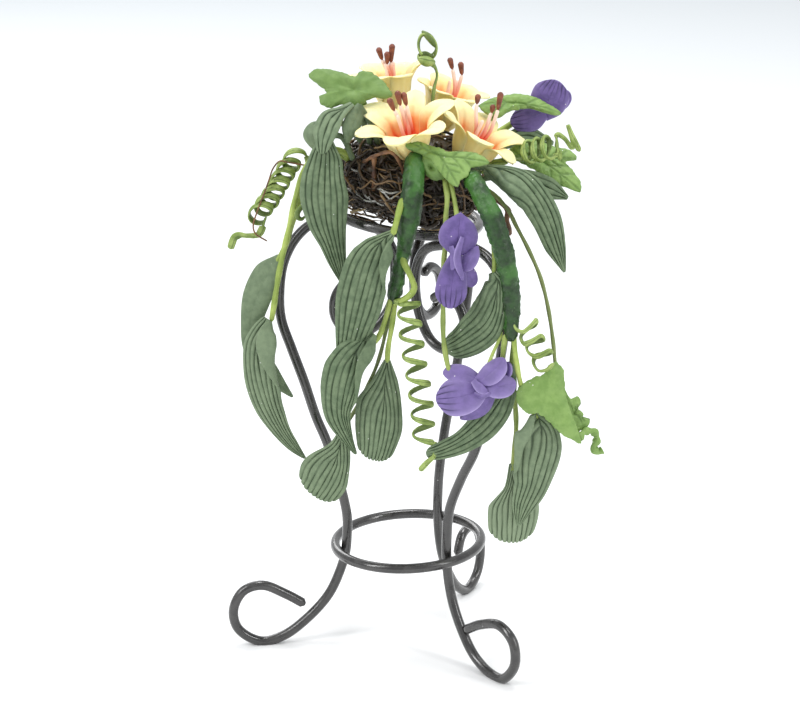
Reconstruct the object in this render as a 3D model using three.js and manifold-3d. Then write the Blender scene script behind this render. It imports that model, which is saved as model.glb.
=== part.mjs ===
// A one-twelfth scale planter: a bent-wire stand whose top ring holds a nest of moss,
// with lilies, purple violas, ivy and trailing grooved leaves modelled in clay.
// Millimetres, +Z up, floor at z = 0. Places are measured from the upright axis of the stand:
// x to the viewer's right, y away from the viewer.
import * as THREE from 'three';
import { mergeVertices } from 'three/addons/utils/BufferGeometryUtils.js';
import Module from 'manifold-3d';

const wasm = await Module();
wasm.setup();

// ---- driving dimensions -------------------------------------------------------------------
const MIDDLE = [0.55, 0.28]; // middle of the whole piece's footprint, from the stand's axis
const WIRE_RADIUS = 0.7;
const LOWER_RING = { radius: 10.4, height: 14.6, rise: 0.03 }; // rise: slope towards +x
const POT_RING = { radius: 10.2, height: 62.6, rise: -0.14 };
const STEM_RADIUS = 0.42;
const TENDRIL_RADIUS = 0.36;
const LEAF_THICKNESS = 0.75;
const IVY_THICKNESS = 0.65;
const VEIN_HEIGHT = 0.16;
const VEIN_REACH = 0.55; // share of the way out to a lobe tip at which its vein stands highest
const PETAL_THICKNESS = 0.6;
const FINEST_EDGE = 0.12; // half width left at the tip of a leaf
const CLEARANCE = 0.15; // gap left round a piece that another one lies against
const SMOOTHING = 0.05; // steps smaller than this are evened out

const MOSS = { centre: [0.9, -0.3, 68.0], radii: [9.3, 9.2, 5.9], strands: 10, seed: 7 };

// How many sides and steps the rods and tubes are drawn with.
const WIRE_SIDES = 6;
const LEG_STEPS = 44;
const RING_STEPS = 28;
const TAPE_SIDES = 9;
const STEM_SIDES = 5;
const TENDRIL_SIDES = 4;
const STEPS_PER_TURN = 6;

// ---- colours ------------------------------------------------------------------------------
const paint = (color, roughness, metalness = 0) =>
  new THREE.MeshStandardMaterial({ color, roughness, metalness });
const BLACK_WIRE = paint('#3a3838', 0.3, 0.6);
const DARK_MOSS = paint('#4a3320', 0.95);
const BROWN_TWIG = paint('#5b3a26', 0.85);
const GREEN_TAPE = paint('#2f5a2f', 0.8);
const STEM_GREEN = paint('#97a94f', 0.6);
const GREY_LEAF = paint('#5f7a63', 0.7);
const IVY_GREEN = paint('#86ad5c', 0.65);
const TENDRIL_GREEN = paint('#93bb52', 0.6);
const LILY_CREAM = paint('#f4e3a4', 0.6);
const STAMEN_RED = paint('#b06a55', 0.5);
const VIOLA_PURPLE = paint('#7f64ae', 0.6);

// ---- shapes -------------------------------------------------------------------------------
const vector = ([x, y, z]) => new THREE.Vector3(x, y, z);
const curveThrough = (points) => new THREE.CatmullRomCurve3(points.map(vector));

// The value at t (0 to 1) of a smooth line through evenly spaced numbers.
function along(values, t) {
  const line = new THREE.SplineCurve(values.map((value, i) => new THREE.Vector2(i, value)));
  return line.getPoint(t).y;
}

function tube(points, radius, sides, steps) {
  const corner = (i) => new THREE.Vector2().set(
    radius * Math.cos((2 * Math.PI * i) / sides),
    radius * Math.sin((2 * Math.PI * i) / sides),
  );
  const section = new THREE.Shape(Array.from({ length: sides }, (_, i) => corner(i)));
  const extrudePath = curveThrough(points);
  return new THREE.ExtrudeGeometry(section, { extrudePath, steps, bevelEnabled: false });
}

// A rod whose radius changes smoothly from one end of its line to the other.
function rod(points, radii, sides, steps) {
  const curve = curveThrough(points);
  const frames = curve.computeFrenetFrames(steps, false);
  const places = [];
  const triangles = [];
  const rings = frames.tangents.map((_, row) => {
    const centre = curve.getPointAt(row / steps);
    const radius = along(radii, row / steps);
    const ring = Array.from({ length: sides }, (__, i) => {
      const angle = (2 * Math.PI * i) / sides;
      places.push(centre.clone()
        .addScaledVector(frames.normals[row], radius * Math.cos(angle))
        .addScaledVector(frames.binormals[row], radius * Math.sin(angle)));
      return places.length - 1;
    });
    return [...ring, ring[0]];
  });
  for (let row = 0; row < steps; row += 1) stitch(rings[row + 1], rings[row], triangles);
  const [start, end] = [0, 1].map((t) => places.push(curve.getPointAt(t)) - 1);
  fan(reversed(rings[0]), start, triangles);
  fan(rings[steps], end, triangles);
  return surface(places, triangles);
}

// A strip of triangles between two lines of points, which may have different counts.
function stitch(lineA, lineB, triangles) {
  const lastA = lineA.length - 1;
  const lastB = lineB.length - 1;
  let i = 0;
  let j = 0;
  while (i < lastA || j < lastB) {
    const stepA = j === lastB || (i < lastA && (i + 1) / lastA <= (j + 1) / lastB);
    triangles.push(lineA[i], lineB[j], stepA ? lineA[i + 1] : lineB[j + 1]);
    if (stepA) i += 1;
    else j += 1;
  }
}

function fan(loop, tip, triangles) {
  for (let i = 0; i + 1 < loop.length; i += 1) triangles.push(loop[i], loop[i + 1], tip);
}

const reversed = (line) => [...line].reverse();

function surface(points, triangles) {
  const geometry = new THREE.BufferGeometry();
  const flat = points.flatMap((point) => point.toArray());
  geometry.setAttribute('position', new THREE.Float32BufferAttribute(flat, 3));
  geometry.setIndex(triangles);
  return geometry;
}

// A solid leaf or petal: it follows a spine, has its half width at each point of the spine,
// faces one way at its root and another at its tip, is folded or cupped along the spine, and
// has ridges along it on its front face.
function blade({
  spine, halfWidths, facing, fold = 0.25, cup = 0, ridges = 4, relief = 0.18,
  thickness = LEAF_THICKNESS, rows = 7,
}) {
  const curve = curveThrough(spine);
  const faces = facing.map((direction) => vector(direction).normalize());
  const points = [];
  const front = [];
  const back = [];
  const addRow = (t, columns, side) => {
    const centre = curve.getPoint(t);
    const tangent = curve.getTangent(t);
    const normal = faces[0].clone().lerp(faces[faces.length - 1], t);
    normal.addScaledVector(tangent, -normal.dot(tangent)).normalize();
    const across = tangent.clone().cross(normal);
    const width = Math.max(along(halfWidths, t), FINEST_EDGE);
    const ridgeHeight = relief * Math.min(1, width / 1.5); // lower where the leaf is narrow
    return Array.from({ length: columns + 1 }, (_, column) => {
      const u = (2 * column) / columns - 1;
      const ridge = side > 0 && column % 2 === 0 ? -ridgeHeight : 0;
      const depth = -width * (fold * Math.abs(u) + cup * u * u);
      points.push(centre.clone()
        .addScaledVector(across, u * width)
        .addScaledVector(normal, depth + ridge + (side * thickness) / 2));
      return points.length - 1;
    });
  };
  for (let row = 0; row <= rows; row += 1) {
    front.push(addRow(row / rows, 2 * ridges, 1));
    back.push(addRow(row / rows, 2, -1));
  }
  const triangles = [];
  for (let row = 0; row < rows; row += 1) {
    stitch(front[row + 1], front[row], triangles);
    stitch(back[row], back[row + 1], triangles);
  }
  const edge = (side, end) => side.map((line) => (end ? line[line.length - 1] : line[0]));
  stitch(edge(back, false), edge(front, false), triangles);
  stitch(edge(front, true), edge(back, true), triangles);
  stitch(front[0], back[0], triangles);
  stitch(back[rows], front[rows], triangles);
  return surface(points, triangles);
}

// A solid lobed leaf: its outline runs anticlockwise seen from its front, lobe tips and
// notches in turn, round the place where its veins meet. Every lobe tip carries a vein.
function lobedLeaf({ outline, centre, facing, dish = 0.3 }) {
  const normal = vector(facing).normalize();
  const middle = vector(centre);
  const points = [];
  const triangles = [];
  const layer = (share, side) => {
    const loop = outline.map((place, i) => {
      const vein = share < 1 && i % 2 === 0 && side > 0 ? VEIN_HEIGHT : 0;
      const sink = -dish * Math.sin(Math.PI * share) + vein;
      const point = middle.clone().lerp(vector(place), share);
      points.push(point.addScaledVector(normal, sink + (side * IVY_THICKNESS) / 2));
      return points.length - 1;
    });
    return [...loop, loop[0]];
  };
  const [frontEdge, frontMiddle] = [layer(1, 1), layer(VEIN_REACH, 1)];
  const [backEdge, backMiddle] = [layer(1, -1), layer(VEIN_REACH, -1)];
  const hub = (side) => {
    points.push(middle.clone().addScaledVector(normal, (side * IVY_THICKNESS) / 2));
    return points.length - 1;
  };
  stitch(frontMiddle, frontEdge, triangles);
  stitch(backEdge, backMiddle, triangles);
  stitch(frontEdge, backEdge, triangles);
  fan(frontMiddle, hub(1), triangles);
  fan(reversed(backMiddle), hub(-1), triangles);
  return surface(points, triangles);
}

// A coil of a tendril, drawn out along a line from one place to another. Its turns lie across
// the line, or face another way where it sags; lead and tail are its straight ends.
function coil({ from, to, radius, turns, facing, lead = [], tail = [] }) {
  const start = vector(from);
  const axis = vector(to).sub(start);
  const face = facing ? vector(facing) : axis;
  const side = new THREE.Vector3(0, 0, 1).cross(face).normalize();
  const other = face.clone().cross(side).normalize();
  const count = Math.round(turns * STEPS_PER_TURN);
  const places = Array.from({ length: count + 1 }, (_, i) => {
    const angle = (2 * Math.PI * i) / STEPS_PER_TURN;
    return start.clone().addScaledVector(axis, i / count)
      .addScaledVector(side, radius * Math.cos(angle))
      .addScaledVector(other, radius * Math.sin(angle))
      .toArray();
  });
  const steps = count + 2 * (lead.length + tail.length);
  return tube([...lead, ...places, ...tail], TENDRIL_RADIUS, TENDRIL_SIDES, steps);
}

// ---- solids -------------------------------------------------------------------------------
function toSolid(geometry) {
  const bare = geometry.index ? geometry.clone() : geometry;
  bare.deleteAttribute('normal');
  bare.deleteAttribute('uv');
  const merged = mergeVertices(bare, 1e-4);
  return new wasm.Manifold(new wasm.Mesh({
    numProp: 3,
    vertProperties: new Float32Array(merged.attributes.position.array),
    triVerts: new Uint32Array(merged.index.array),
  }));
}

function toGeometry(solid) {
  const { vertProperties, triVerts, numProp } = solid.getMesh();
  const geometry = new THREE.BufferGeometry();
  const places = new THREE.BufferAttribute(new Float32Array(vertProperties), numProp);
  geometry.setAttribute('position', places);
  geometry.setIndex(new THREE.BufferAttribute(new Uint32Array(triVerts), 1));
  return geometry;
}

const join = (geometries) => wasm.Manifold.union(geometries.map(toSolid));

// Cuts a pocket out of a solid that reaches into another one, with clearance on every side.
function withPocket(solid, other) {
  const overlap = solid.intersect(other);
  if (overlap.isEmpty()) return solid;
  const moves = [[1, 1, 1], [-1, -1, 1], [-1, 1, -1], [1, -1, -1]];
  const moved = moves.map((move) => overlap.translate(move.map((step) => step * CLEARANCE)));
  return solid.subtract(wasm.Manifold.hull(moved));
}

function boxesMeet(boxA, boxB) {
  return [0, 1, 2].every((k) => boxA.min[k] < boxB.max[k] && boxB.min[k] < boxA.max[k]);
}

const planter = new THREE.Group();
planter.position.set(-MIDDLE[0], -MIDDLE[1], 0);
const placed = [];

// Adds one piece. It gives way to every piece that is already in place.
function add(name, shape, material) {
  let solid = shape instanceof THREE.BufferGeometry ? toSolid(shape) : shape;
  const box = solid.boundingBox();
  for (const other of placed) {
    if (boxesMeet(box, other.boundingBox())) solid = withPocket(solid, other);
  }
  const [body] = solid.simplify(SMOOTHING).decompose().sort((a, b) => b.volume() - a.volume());
  placed.push(body);
  const mesh = new THREE.Mesh(toGeometry(body), material);
  mesh.name = name;
  planter.add(mesh);
}

// ---- wire stand ---------------------------------------------------------------------------
// Each leg is one wire: it starts inside its foot curl, runs up past the lower ring, bows out,
// turns over under the pot ring and ends in a scroll. Points are (distance from axis, height);
// the leg stands at one bearing at its foot and may turn to another at its top.
const LEGS = [
  {
    name: 'leg_left',
    bearings: [187.6, 187.6],
    line: [
      [15.0, 5.8], [17.8, 7.6], [21.0, 9.1], [23.7, 8.4], [25.2, 5.6], [24.6, 2.6], [21.4, 0.45],
      [18.2, 1.1], [14.8, 3.5], [11.6, 7.0], [9.9, 10.5], [9.0, 13.5], [8.75, 16.0], [8.7, 18.8],
      [9.3, 22.4], [11.3, 30.0], [12.8, 34.0], [14.4, 39.4], [16.0, 44.2], [17.3, 48.4],
      [17.5, 51.7], [16.8, 56.6], [15.0, 60.0], [12.6, 62.0], [10.2, 62.5], [8.2, 62.4],
      [4.2, 61.0], [1.9, 58.0], [1.5, 54.0], [2.1, 49.8], [4.6, 46.6], [7.9, 46.0],
      [9.9, 48.6], [9.7, 51.5], [7.7, 53.8], [4.9, 54.5], [3.2, 54.0],
    ],
  },
  {
    name: 'leg_right',
    bearings: [308, 313.5],
    line: [
      [12.9, 5.2], [16.4, 7.2], [20.2, 8.3], [23.0, 6.8], [23.4, 3.6], [20.9, 0.6], [18.0, 0.45],
      [14.7, 1.9], [12.2, 4.6], [10.2, 8.0], [9.2, 11.0], [8.75, 14.0], [8.7, 17.5],
      [9.2, 22.0], [11.4, 27.1], [14.0, 32.0], [16.2, 39.6], [18.2, 46.0],
      [19.0, 52.0], [18.4, 56.6], [16.4, 59.2], [13.4, 60.3], [10.2, 60.0], [7.2, 59.6],
      [4.0, 58.4], [2.4, 56.0], [1.9, 52.6], [2.9, 48.4], [5.0, 45.6], [7.8, 44.9],
      [10.6, 46.6], [11.4, 49.6], [10.0, 52.0], [7.2, 52.6], [5.2, 51.6],
    ],
  },
  {
    name: 'leg_back',
    bearings: [60, 57.5],
    line: [
      [14.6, 7.0], [16.0, 9.6], [18.4, 10.2], [20.8, 8.8], [22.0, 5.6], [20.9, 2.0], [17.8, 0.4],
      [14.6, 2.0], [11.8, 5.4], [10.0, 8.8], [9.1, 12.0], [8.75, 15.0], [8.75, 18.4],
      [9.2, 22.4], [10.8, 28.6], [12.4, 33.0], [14.2, 38.4], [15.8, 44.0], [16.9, 48.4],
      [17.2, 52.0], [16.4, 56.4], [14.4, 59.2], [12.4, 60.3], [10.2, 60.3], [7.6, 60.0],
      [4.4, 58.6], [2.6, 56.0], [2.1, 52.4], [3.0, 48.8], [5.2, 46.8], [7.8, 47.2],
      [9.2, 49.6], [8.6, 52.2], [6.4, 53.6], [4.4, 53.0],
    ],
  },
];

function legWire({ bearings, line }) {
  const [footBearing, topBearing] = bearings;
  const places = line.map(([reach, height]) => {
    const turned = THREE.MathUtils.smoothstep(height, 14, 46);
    const bearing = THREE.MathUtils.degToRad(footBearing + (topBearing - footBearing) * turned);
    return [reach * Math.cos(bearing), reach * Math.sin(bearing), height];
  });
  return tube(places, WIRE_RADIUS, WIRE_SIDES, LEG_STEPS);
}

// The lowest wire of each foot is filed flat where it stands.
function filedFlat(shape) {
  const floor = new THREE.BoxGeometry(120, 120, 4).translate(0, 0, -2);
  return toSolid(shape).subtract(toSolid(floor));
}

function wireRing({ radius, height, rise }) {
  return new THREE.TorusGeometry(radius, WIRE_RADIUS, WIRE_SIDES, RING_STEPS)
    .rotateY(-Math.atan(rise))
    .translate(0, 0, height);
}

add('lower_ring', wireRing(LOWER_RING), BLACK_WIRE);
add('pot_ring', wireRing(POT_RING), BLACK_WIRE);
for (const leg of LEGS) add(leg.name, filedFlat(legWire(leg)), BLACK_WIRE);

// ---- taped stems --------------------------------------------------------------------------
// Two thick bundles, wrapped in dark green tape, hang out of the moss over the pot ring.
add('tape_wrap_left', rod([
  [1.6, -9.2, 71.6], [1.3, -11.9, 70.6], [1.0, -13.3, 67.6], [0.6, -13.5, 64.4],
  [0.0, -13.3, 60.4], [-0.5, -13.0, 56.2],
], [1.5, 1.55, 1.45, 1.3, 1.0, 0.8], TAPE_SIDES, 12), GREEN_TAPE);
add('tape_wrap_right', rod([
  [8.6, -8.6, 70.6], [10.2, -12.4, 69.0], [11.9, -15.2, 65.8], [13.2, -16.4, 62.1],
  [14.0, -16.6, 57.4], [14.0, -16.6, 53.0], [13.8, -16.5, 50.0],
], [1.4, 1.4, 1.35, 1.3, 1.25, 1.2, 0.9], TAPE_SIDES, 14), GREEN_TAPE);

// ---- stems --------------------------------------------------------------------------------
function stem(points, steps = 8, radius = STEM_RADIUS) {
  return tube(points, radius, STEM_SIDES, steps);
}

add('stems_left', join([
  stem([[-7.4, -5.8, 72.2], [-10.0, -7.4, 72.2], [-12.8, -7.6, 70.6], [-14.7, -7.4, 66.8],
    [-16.1, -7.0, 61.0], [-17.6, -6.6, 53.6], [-18.2, -6.6, 50.2]], 14),
  stem([[-7.4, -5.4, 71.9], [-10.0, -6.9, 71.8], [-12.4, -7.0, 70.2], [-14.0, -6.6, 66.6],
    [-15.4, -6.1, 62.2], [-16.6, -5.8, 59.2]], 10),
]), STEM_GREEN);
add('stems_centre', join([
  stem([[-0.6, -12.9, 55.7], [-2.2, -13.3, 52.6], [-3.7, -13.1, 49.6]], 5),
  stem([[-0.4, -12.5, 55.7], [-1.9, -11.5, 50.3], [-4.1, -10.8, 43.8], [-6.9, -10.4, 37.6],
    [-8.0, -10.4, 35.2]], 8),
  stem([[-0.3, -12.9, 55.7], [-1.4, -12.8, 50.7], [-2.3, -12.5, 46.0]], 5),
]), STEM_GREEN);
add('stem_centre_upper', stem([
  [-0.9, -13.6, 66.9], [-0.9, -14.6, 65.4], [-1.5, -15.0, 64.2],
], 4), STEM_GREEN);
add('stems_front', join([
  stem([[5.0, -7.6, 71.8], [5.0, -11.2, 70.6], [5.1, -13.0, 67.4], [5.2, -14.2, 62.6],
    [5.1, -14.6, 55.7], [5.1, -14.8, 48.7], [5.5, -16.6, 45.0]], 14),
  stem([[5.4, -7.6, 71.6], [5.7, -11.2, 70.4], [6.1, -13.0, 68.6], [6.7, -14.2, 66.6]], 8),
]), STEM_GREEN);
add('stem_upper_right', stem([
  [11.4, -16.3, 63.4], [11.3, -16.4, 61.7], [11.6, -16.4, 59.2],
], 4), STEM_GREEN);
add('stem_right_long', stem([
  [10.6, -4.6, 69.2], [12.6, -8.8, 67.2], [14.3, -11.0, 64.5], [16.5, -12.0, 60.7],
  [18.1, -12.8, 56.0], [19.2, -13.4, 50.8], [19.9, -13.9, 46.6],
], 12), STEM_GREEN);
add('stems_right', join([
  stem([[13.8, -16.5, 49.7], [13.5, -16.3, 48.2], [13.8, -15.7, 46.2]], 4),
  stem([[13.9, -16.6, 49.7], [14.6, -16.8, 46.9], [15.5, -16.5, 43.3], [16.1, -16.1, 42.2]], 6),
  stem([[13.6, -16.3, 49.7], [13.2, -13.9, 43.1], [13.6, -13.0, 35.8], [14.1, -13.0, 31.7]], 8),
]), STEM_GREEN);

// ---- lilies -------------------------------------------------------------------------------
// A lily is a funnel that opens into six pointed petals, on a narrow neck that stands in the
// moss. Its outline from base to petal tip is (distance from its axis, height); between two
// petals the edge runs back to the funnel.
const LILY_PROFILE = [[0.9, 0], [1.7, 1.8], [2.5, 3.8], [3.6, 5.5], [4.9, 6.2], [6.3, 6.1]];
const PETALS = 6;
const STEPS_PER_PETAL = 4;
const FUNNEL_ROWS = 2;
const PETAL_ROWS = 2;
const PETAL_REACH = [1, 0.8, 0.34, 0.8]; // petal tip, shoulder, notch, shoulder
const PETAL_TURN = [0, 0.31, 0.5, 0.69]; // how far round the petal's share each one lies

function lilyFlower({ mouth, axis, neck, turn = 0, size = 1, flare = 1 }) {
  const profile = new THREE.SplineCurve(LILY_PROFILE.map(([r, z]) => new THREE.Vector2(r, z)));
  const funnelEnd = FUNNEL_ROWS / (LILY_PROFILE.length - 1);
  const count = PETALS * STEPS_PER_PETAL;
  const points = [];
  const loopAt = (row, side) => {
    const loop = Array.from({ length: count }, (_, i) => {
      const petalShare = Math.max(0, row - FUNNEL_ROWS) / PETAL_ROWS;
      const reach = PETAL_REACH[i % STEPS_PER_PETAL];
      const t = row <= FUNNEL_ROWS
        ? (row / FUNNEL_ROWS) * funnelEnd
        : funnelEnd + (1 - funnelEnd) * reach * petalShare;
      const place = profile.getPoint(t);
      const slope = profile.getTangent(t);
      const radius = place.x * (row > FUNNEL_ROWS ? 1 + (flare - 1) * petalShare : 1);
      const share = Math.floor(i / STEPS_PER_PETAL) + PETAL_TURN[i % STEPS_PER_PETAL];
      const angle = turn + (2 * Math.PI * share) / PETALS;
      const out = radius + (side * slope.y * PETAL_THICKNESS) / 2;
      points.push(new THREE.Vector3(
        out * Math.cos(angle),
        out * Math.sin(angle),
        place.y - (side * slope.x * PETAL_THICKNESS) / 2,
      ));
      return points.length - 1;
    });
    return [...loop, loop[0]];
  };
  const rows = FUNNEL_ROWS + PETAL_ROWS;
  const outside = Array.from({ length: rows + 1 }, (_, row) => loopAt(row, 1));
  const inside = Array.from({ length: rows + 1 }, (_, row) => loopAt(row, -1));
  const triangles = [];
  for (let row = 0; row < rows; row += 1) {
    stitch(outside[row + 1], outside[row], triangles);
    stitch(inside[row], inside[row + 1], triangles);
  }
  stitch(inside[rows], outside[rows], triangles);
  const floorHeight = LILY_PROFILE[0][1];
  const bottom = points.push(new THREE.Vector3(0, 0, floorHeight - PETAL_THICKNESS)) - 1;
  const throat = points.push(new THREE.Vector3(0, 0, floorHeight)) - 1;
  fan(reversed(outside[0]), bottom, triangles);
  fan(inside[0], throat, triangles);
  const flower = setOnAxis(surface(points, triangles), mouth, axis, size);
  return join([flower, stem(neck, 2, 0.7)]);
}

// Turns a shape made round +Z so that it lies on the flower's axis with the mouth of the
// funnel in its place.
function setOnAxis(geometry, mouth, axis, size) {
  const mouthHeight = LILY_PROFILE[3][1];
  const up = new THREE.Vector3(0, 0, 1);
  geometry.translate(0, 0, -mouthHeight).scale(size, size, size);
  geometry.applyQuaternion(new THREE.Quaternion().setFromUnitVectors(up, vector(axis).normalize()));
  return geometry.translate(...mouth);
}

// Three filaments stand up out of the throat, each with a club-shaped anther on its end.
function lilyStamens({ mouth, axis, size = 1, anthers }) {
  const filamentRoot = [0, 0, 0.5];
  const thickness = [0.27, 0.27, 0.27, 0.3, 0.48, 0.3];
  const parts = [new THREE.OctahedronGeometry(0.7).translate(...filamentRoot)];
  for (const [x, y, z] of anthers) {
    const [bend, neck] = [[x * 0.3, y * 0.3, z * 0.45], [x * 0.8, y * 0.8, z - 1.4]];
    const line = [filamentRoot, bend, neck, [x, y, z]];
    parts.push(rod(line, thickness, 4, 6));
  }
  return join(parts.map((part) => setOnAxis(part, mouth, axis, size)));
}

const LILIES = [
  {
    name: 'lily_front_left', mouth: [0.1, -8.2, 77.4], axis: [-0.06, -0.34, 0.94], turn: 0.15,
    size: 1.02, flare: 1, neck: [[0.5, -6.2, 72.2], [0.7, -5.4, 71.0], [0.8, -4.8, 69.8]],
    anthers: [[-2.2, 1.4, 9.3], [-1.2, 1.9, 10.0], [-0.3, 1.4, 9.9]],
  },
  {
    name: 'lily_front_right', mouth: [10.6, -3.4, 76.3], axis: [0.12, -0.2, 0.97], turn: 0.5,
    size: 0.95, flare: 0.92, neck: [[10.0, -2.4, 71.2], [9.6, -2.2, 70.0], [8.8, -2.0, 68.8]],
    anthers: [[-1.5, 0.6, 9.7], [1.6, 0.9, 9.9], [0.8, -0.9, 8.8]],
  },
  {
    name: 'lily_back_left', mouth: [-1.6, 3.2, 81.6], axis: [-0.08, 0.05, 1], turn: 0.3,
    size: 0.92, flare: 0.92, neck: [[-1.2, 3.0, 76.6], [-1.0, 2.8, 74.6], [-0.8, 2.6, 72.6]],
    anthers: [[-1.6, 0, 9.6], [-0.4, 0.8, 9.0], [0.5, -0.4, 10.0]],
  },
  {
    name: 'lily_back_right', mouth: [6.8, 6.4, 79.6], axis: [0.3, -0.12, 0.95], turn: 0.0,
    size: 0.9, flare: 0.85, neck: [[5.3, 7.0, 75.0], [4.8, 6.6, 73.2], [4.2, 6.0, 71.4]],
    anthers: [[-2.0, 0, 9.0], [-0.2, 0.8, 9.2], [-0.7, -0.8, 8.4]],
  },
];
for (const lily of LILIES) {
  add(lily.name, lilyFlower(lily), LILY_CREAM);
  add(`${lily.name}_stamens`, lilyStamens(lily), STAMEN_RED);
}

// ---- violas -------------------------------------------------------------------------------
const petal = (spine, halfWidths, facing, more = {}) => blade({
  spine, halfWidths, facing: [facing], thickness: 0.8, ridges: 2, rows: 4, relief: 0.12, ...more,
});
const AT_VIEWER = [0, -1, 0.3];

add('viola_upper', join([
  petal([[6.6, -16.0, 62.2], [6.9, -16.6, 64.6], [7.2, -16.4, 66.8]], [1.2, 2.7, 0.5], AT_VIEWER),
  petal([[6.4, -16.2, 61.8], [5.7, -17.0, 57.6], [5.6, -16.4, 54.0]], [1.0, 2.1, 1.3], AT_VIEWER),
  petal([[6.6, -16.4, 60.6], [8.2, -16.6, 60.8], [9.2, -16.2, 62.2]], [0.9, 1.0, 0.5], [0.3, -1, 0]),
  petal([[6.8, -16.2, 59.8], [8.2, -15.9, 58.2], [9.0, -15.6, 57.4]], [0.8, 1.2, 0.8], [0.2, -1, 0]),
  petal([[6.2, -16.9, 62.8], [6.6, -17.6, 60.4], [7.6, -17.2, 57.8]], [0.5, 0.6, 0.3], AT_VIEWER),
]), VIOLA_PURPLE);
add('viola_lower', join([
  petal([[8.8, -17.8, 42.6], [6.4, -18.6, 41.4], [4.4, -18.2, 40.6]], [1.2, 2.6, 1.7], AT_VIEWER),
  petal([[8.8, -17.4, 43.6], [6.8, -17.4, 44.8], [4.9, -17.0, 44.4]], [0.8, 1.4, 1.0], AT_VIEWER),
  petal([[9.0, -17.8, 43.0], [10.6, -18.2, 45.0], [12.0, -18.0, 46.6]], [0.7, 1.3, 0.7], AT_VIEWER),
  petal([[9.0, -18.0, 42.6], [11.2, -18.6, 42.8], [13.2, -18.4, 42.4]], [0.9, 1.5, 1.0], AT_VIEWER),
  petal([[9.6, -17.6, 42.4], [8.6, -17.8, 40.6], [6.8, -17.8, 38.8]], [0.7, 1.3, 0.4], AT_VIEWER),
]), VIOLA_PURPLE);
add('viola_back', join([
  petal([[17.6, 4.2, 76.2], [19.4, 4.4, 78.0], [20.2, 4.6, 80.0]], [1.0, 2.4, 1.6], AT_VIEWER),
  petal([[17.8, 4.0, 76.4], [16.2, 3.6, 75.4], [14.4, 3.4, 74.4]], [0.8, 1.7, 1.1], AT_VIEWER),
  petal([[18.0, 4.9, 76.8], [20.0, 5.6, 77.2], [21.6, 5.8, 77.8]], [0.8, 1.6, 1.0], [0.2, -1, 0.6]),
  stem([[17.6, 4.4, 76.0], [13.4, 3.8, 73.4], [9.4, 2.6, 71.4], [7.2, 2.0, 70.2]], 6, 0.5),
]), VIOLA_PURPLE);

// ---- ivy ----------------------------------------------------------------------------------
const withStalk = (leaf, points) => join([leaf, stem(points, 5, 0.45)]);

add('ivy_front', withStalk(lobedLeaf({
  outline: [
    [0.2, -11.2, 75.1], [1.8, -12.0, 73.2], [3.2, -12.6, 71.4], [4.4, -13.3, 71.0],
    [7.2, -14.2, 69.6], [8.4, -13.3, 71.2], [11.4, -11.2, 72.2], [8.0, -11.2, 73.4],
    [6.4, -10.4, 74.0], [3.4, -10.4, 74.8],
  ],
  centre: [5.2, -11.4, 73.0], facing: [0, -0.8, 0.6],
}), [[5.4, -11.2, 72.8], [5.4, -9.0, 71.8], [5.2, -6.0, 70.4]]), IVY_GREEN);
add('ivy_top_left', withStalk(lobedLeaf({
  outline: [
    [-12.7, -3.4, 82.6], [-11.6, -4.0, 81.3], [-11.4, -4.4, 79.7], [-9.4, -4.2, 78.8],
    [-5.6, -3.4, 78.8], [-3.6, -2.6, 80.2], [-5.0, -1.6, 82.9], [-8.6, -2.2, 83.2],
  ],
  centre: [-6.6, -2.9, 81.0], facing: [-0.1, -0.85, 0.5],
}), [[-6.2, -2.6, 80.4], [-5.0, -2.0, 77.6], [-3.6, -1.6, 73.2]]), IVY_GREEN);
add('ivy_top_right', withStalk(lobedLeaf({
  outline: [
    [18.8, 1.8, 77.4], [16.0, 2.0, 78.6], [13.2, 2.0, 78.2], [10.4, 1.4, 77.2],
    [11.6, 0.4, 75.4], [13.4, 0.0, 76.4], [16.2, 0.4, 77.2], [20.8, 1.2, 75.3],
  ],
  centre: [13.6, 1.2, 77.5], facing: [0.15, -0.75, 0.65], dish: -0.3,
}), [[12.6, 1.2, 77.0], [11.4, 1.2, 74.4], [8.4, 0.6, 71.6]]), IVY_GREEN);
add('ivy_right', withStalk(lobedLeaf({
  outline: [
    [22.0, -2.2, 69.2], [23.4, -1.4, 70.7], [20.6, -1.4, 71.6], [19.8, -0.6, 73.2],
    [16.6, -1.0, 72.6], [13.4, -1.2, 72.2], [13.2, -2.6, 70.0], [16.2, -3.0, 69.0],
    [19.8, -3.2, 67.4], [23.8, -2.6, 66.3],
  ],
  centre: [15.6, -1.9, 71.0], facing: [0, -0.8, 0.6], dish: 0.1,
}), [[15.2, -1.9, 70.8], [12.2, -1.8, 70.2], [8.6, -1.4, 69.8]]), IVY_GREEN);
add('ivy_lower_right', join([
  lobedLeaf({
    outline: [
      [23.4, -16.4, 33.9], [23.2, -15.6, 35.5], [24.9, -14.6, 35.7], [22.9, -15.2, 37.4],
      [23.8, -14.2, 39.1], [21.9, -15.2, 41.4], [21.3, -14.6, 44.4], [20.0, -14.0, 45.7],
      [18.0, -16.4, 44.1], [15.2, -17.6, 41.8], [15.0, -17.7, 39.8], [18.0, -17.9, 39.0],
      [20.6, -17.4, 36.8],
    ],
    centre: [19.4, -17.1, 41.2], facing: [0.1, -1, 0.2], dish: -0.3,
  }),
  tube([[22.9, -15.8, 34.9], [24.4, -14.8, 34.6], [25.8, -14.4, 34.2], [26.2, -14.6, 32.8],
    [25.4, -15.0, 31.2]], TENDRIL_RADIUS, TENDRIL_SIDES, 8),
]), IVY_GREEN);

// ---- grooved leaves -----------------------------------------------------------------------
const FRONT = [0, -1, 0.15];
const LEFT_FRONT = [-0.5, -0.85, 0.15];
const RIGHT_FRONT = [0.5, -0.85, 0.15];

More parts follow.
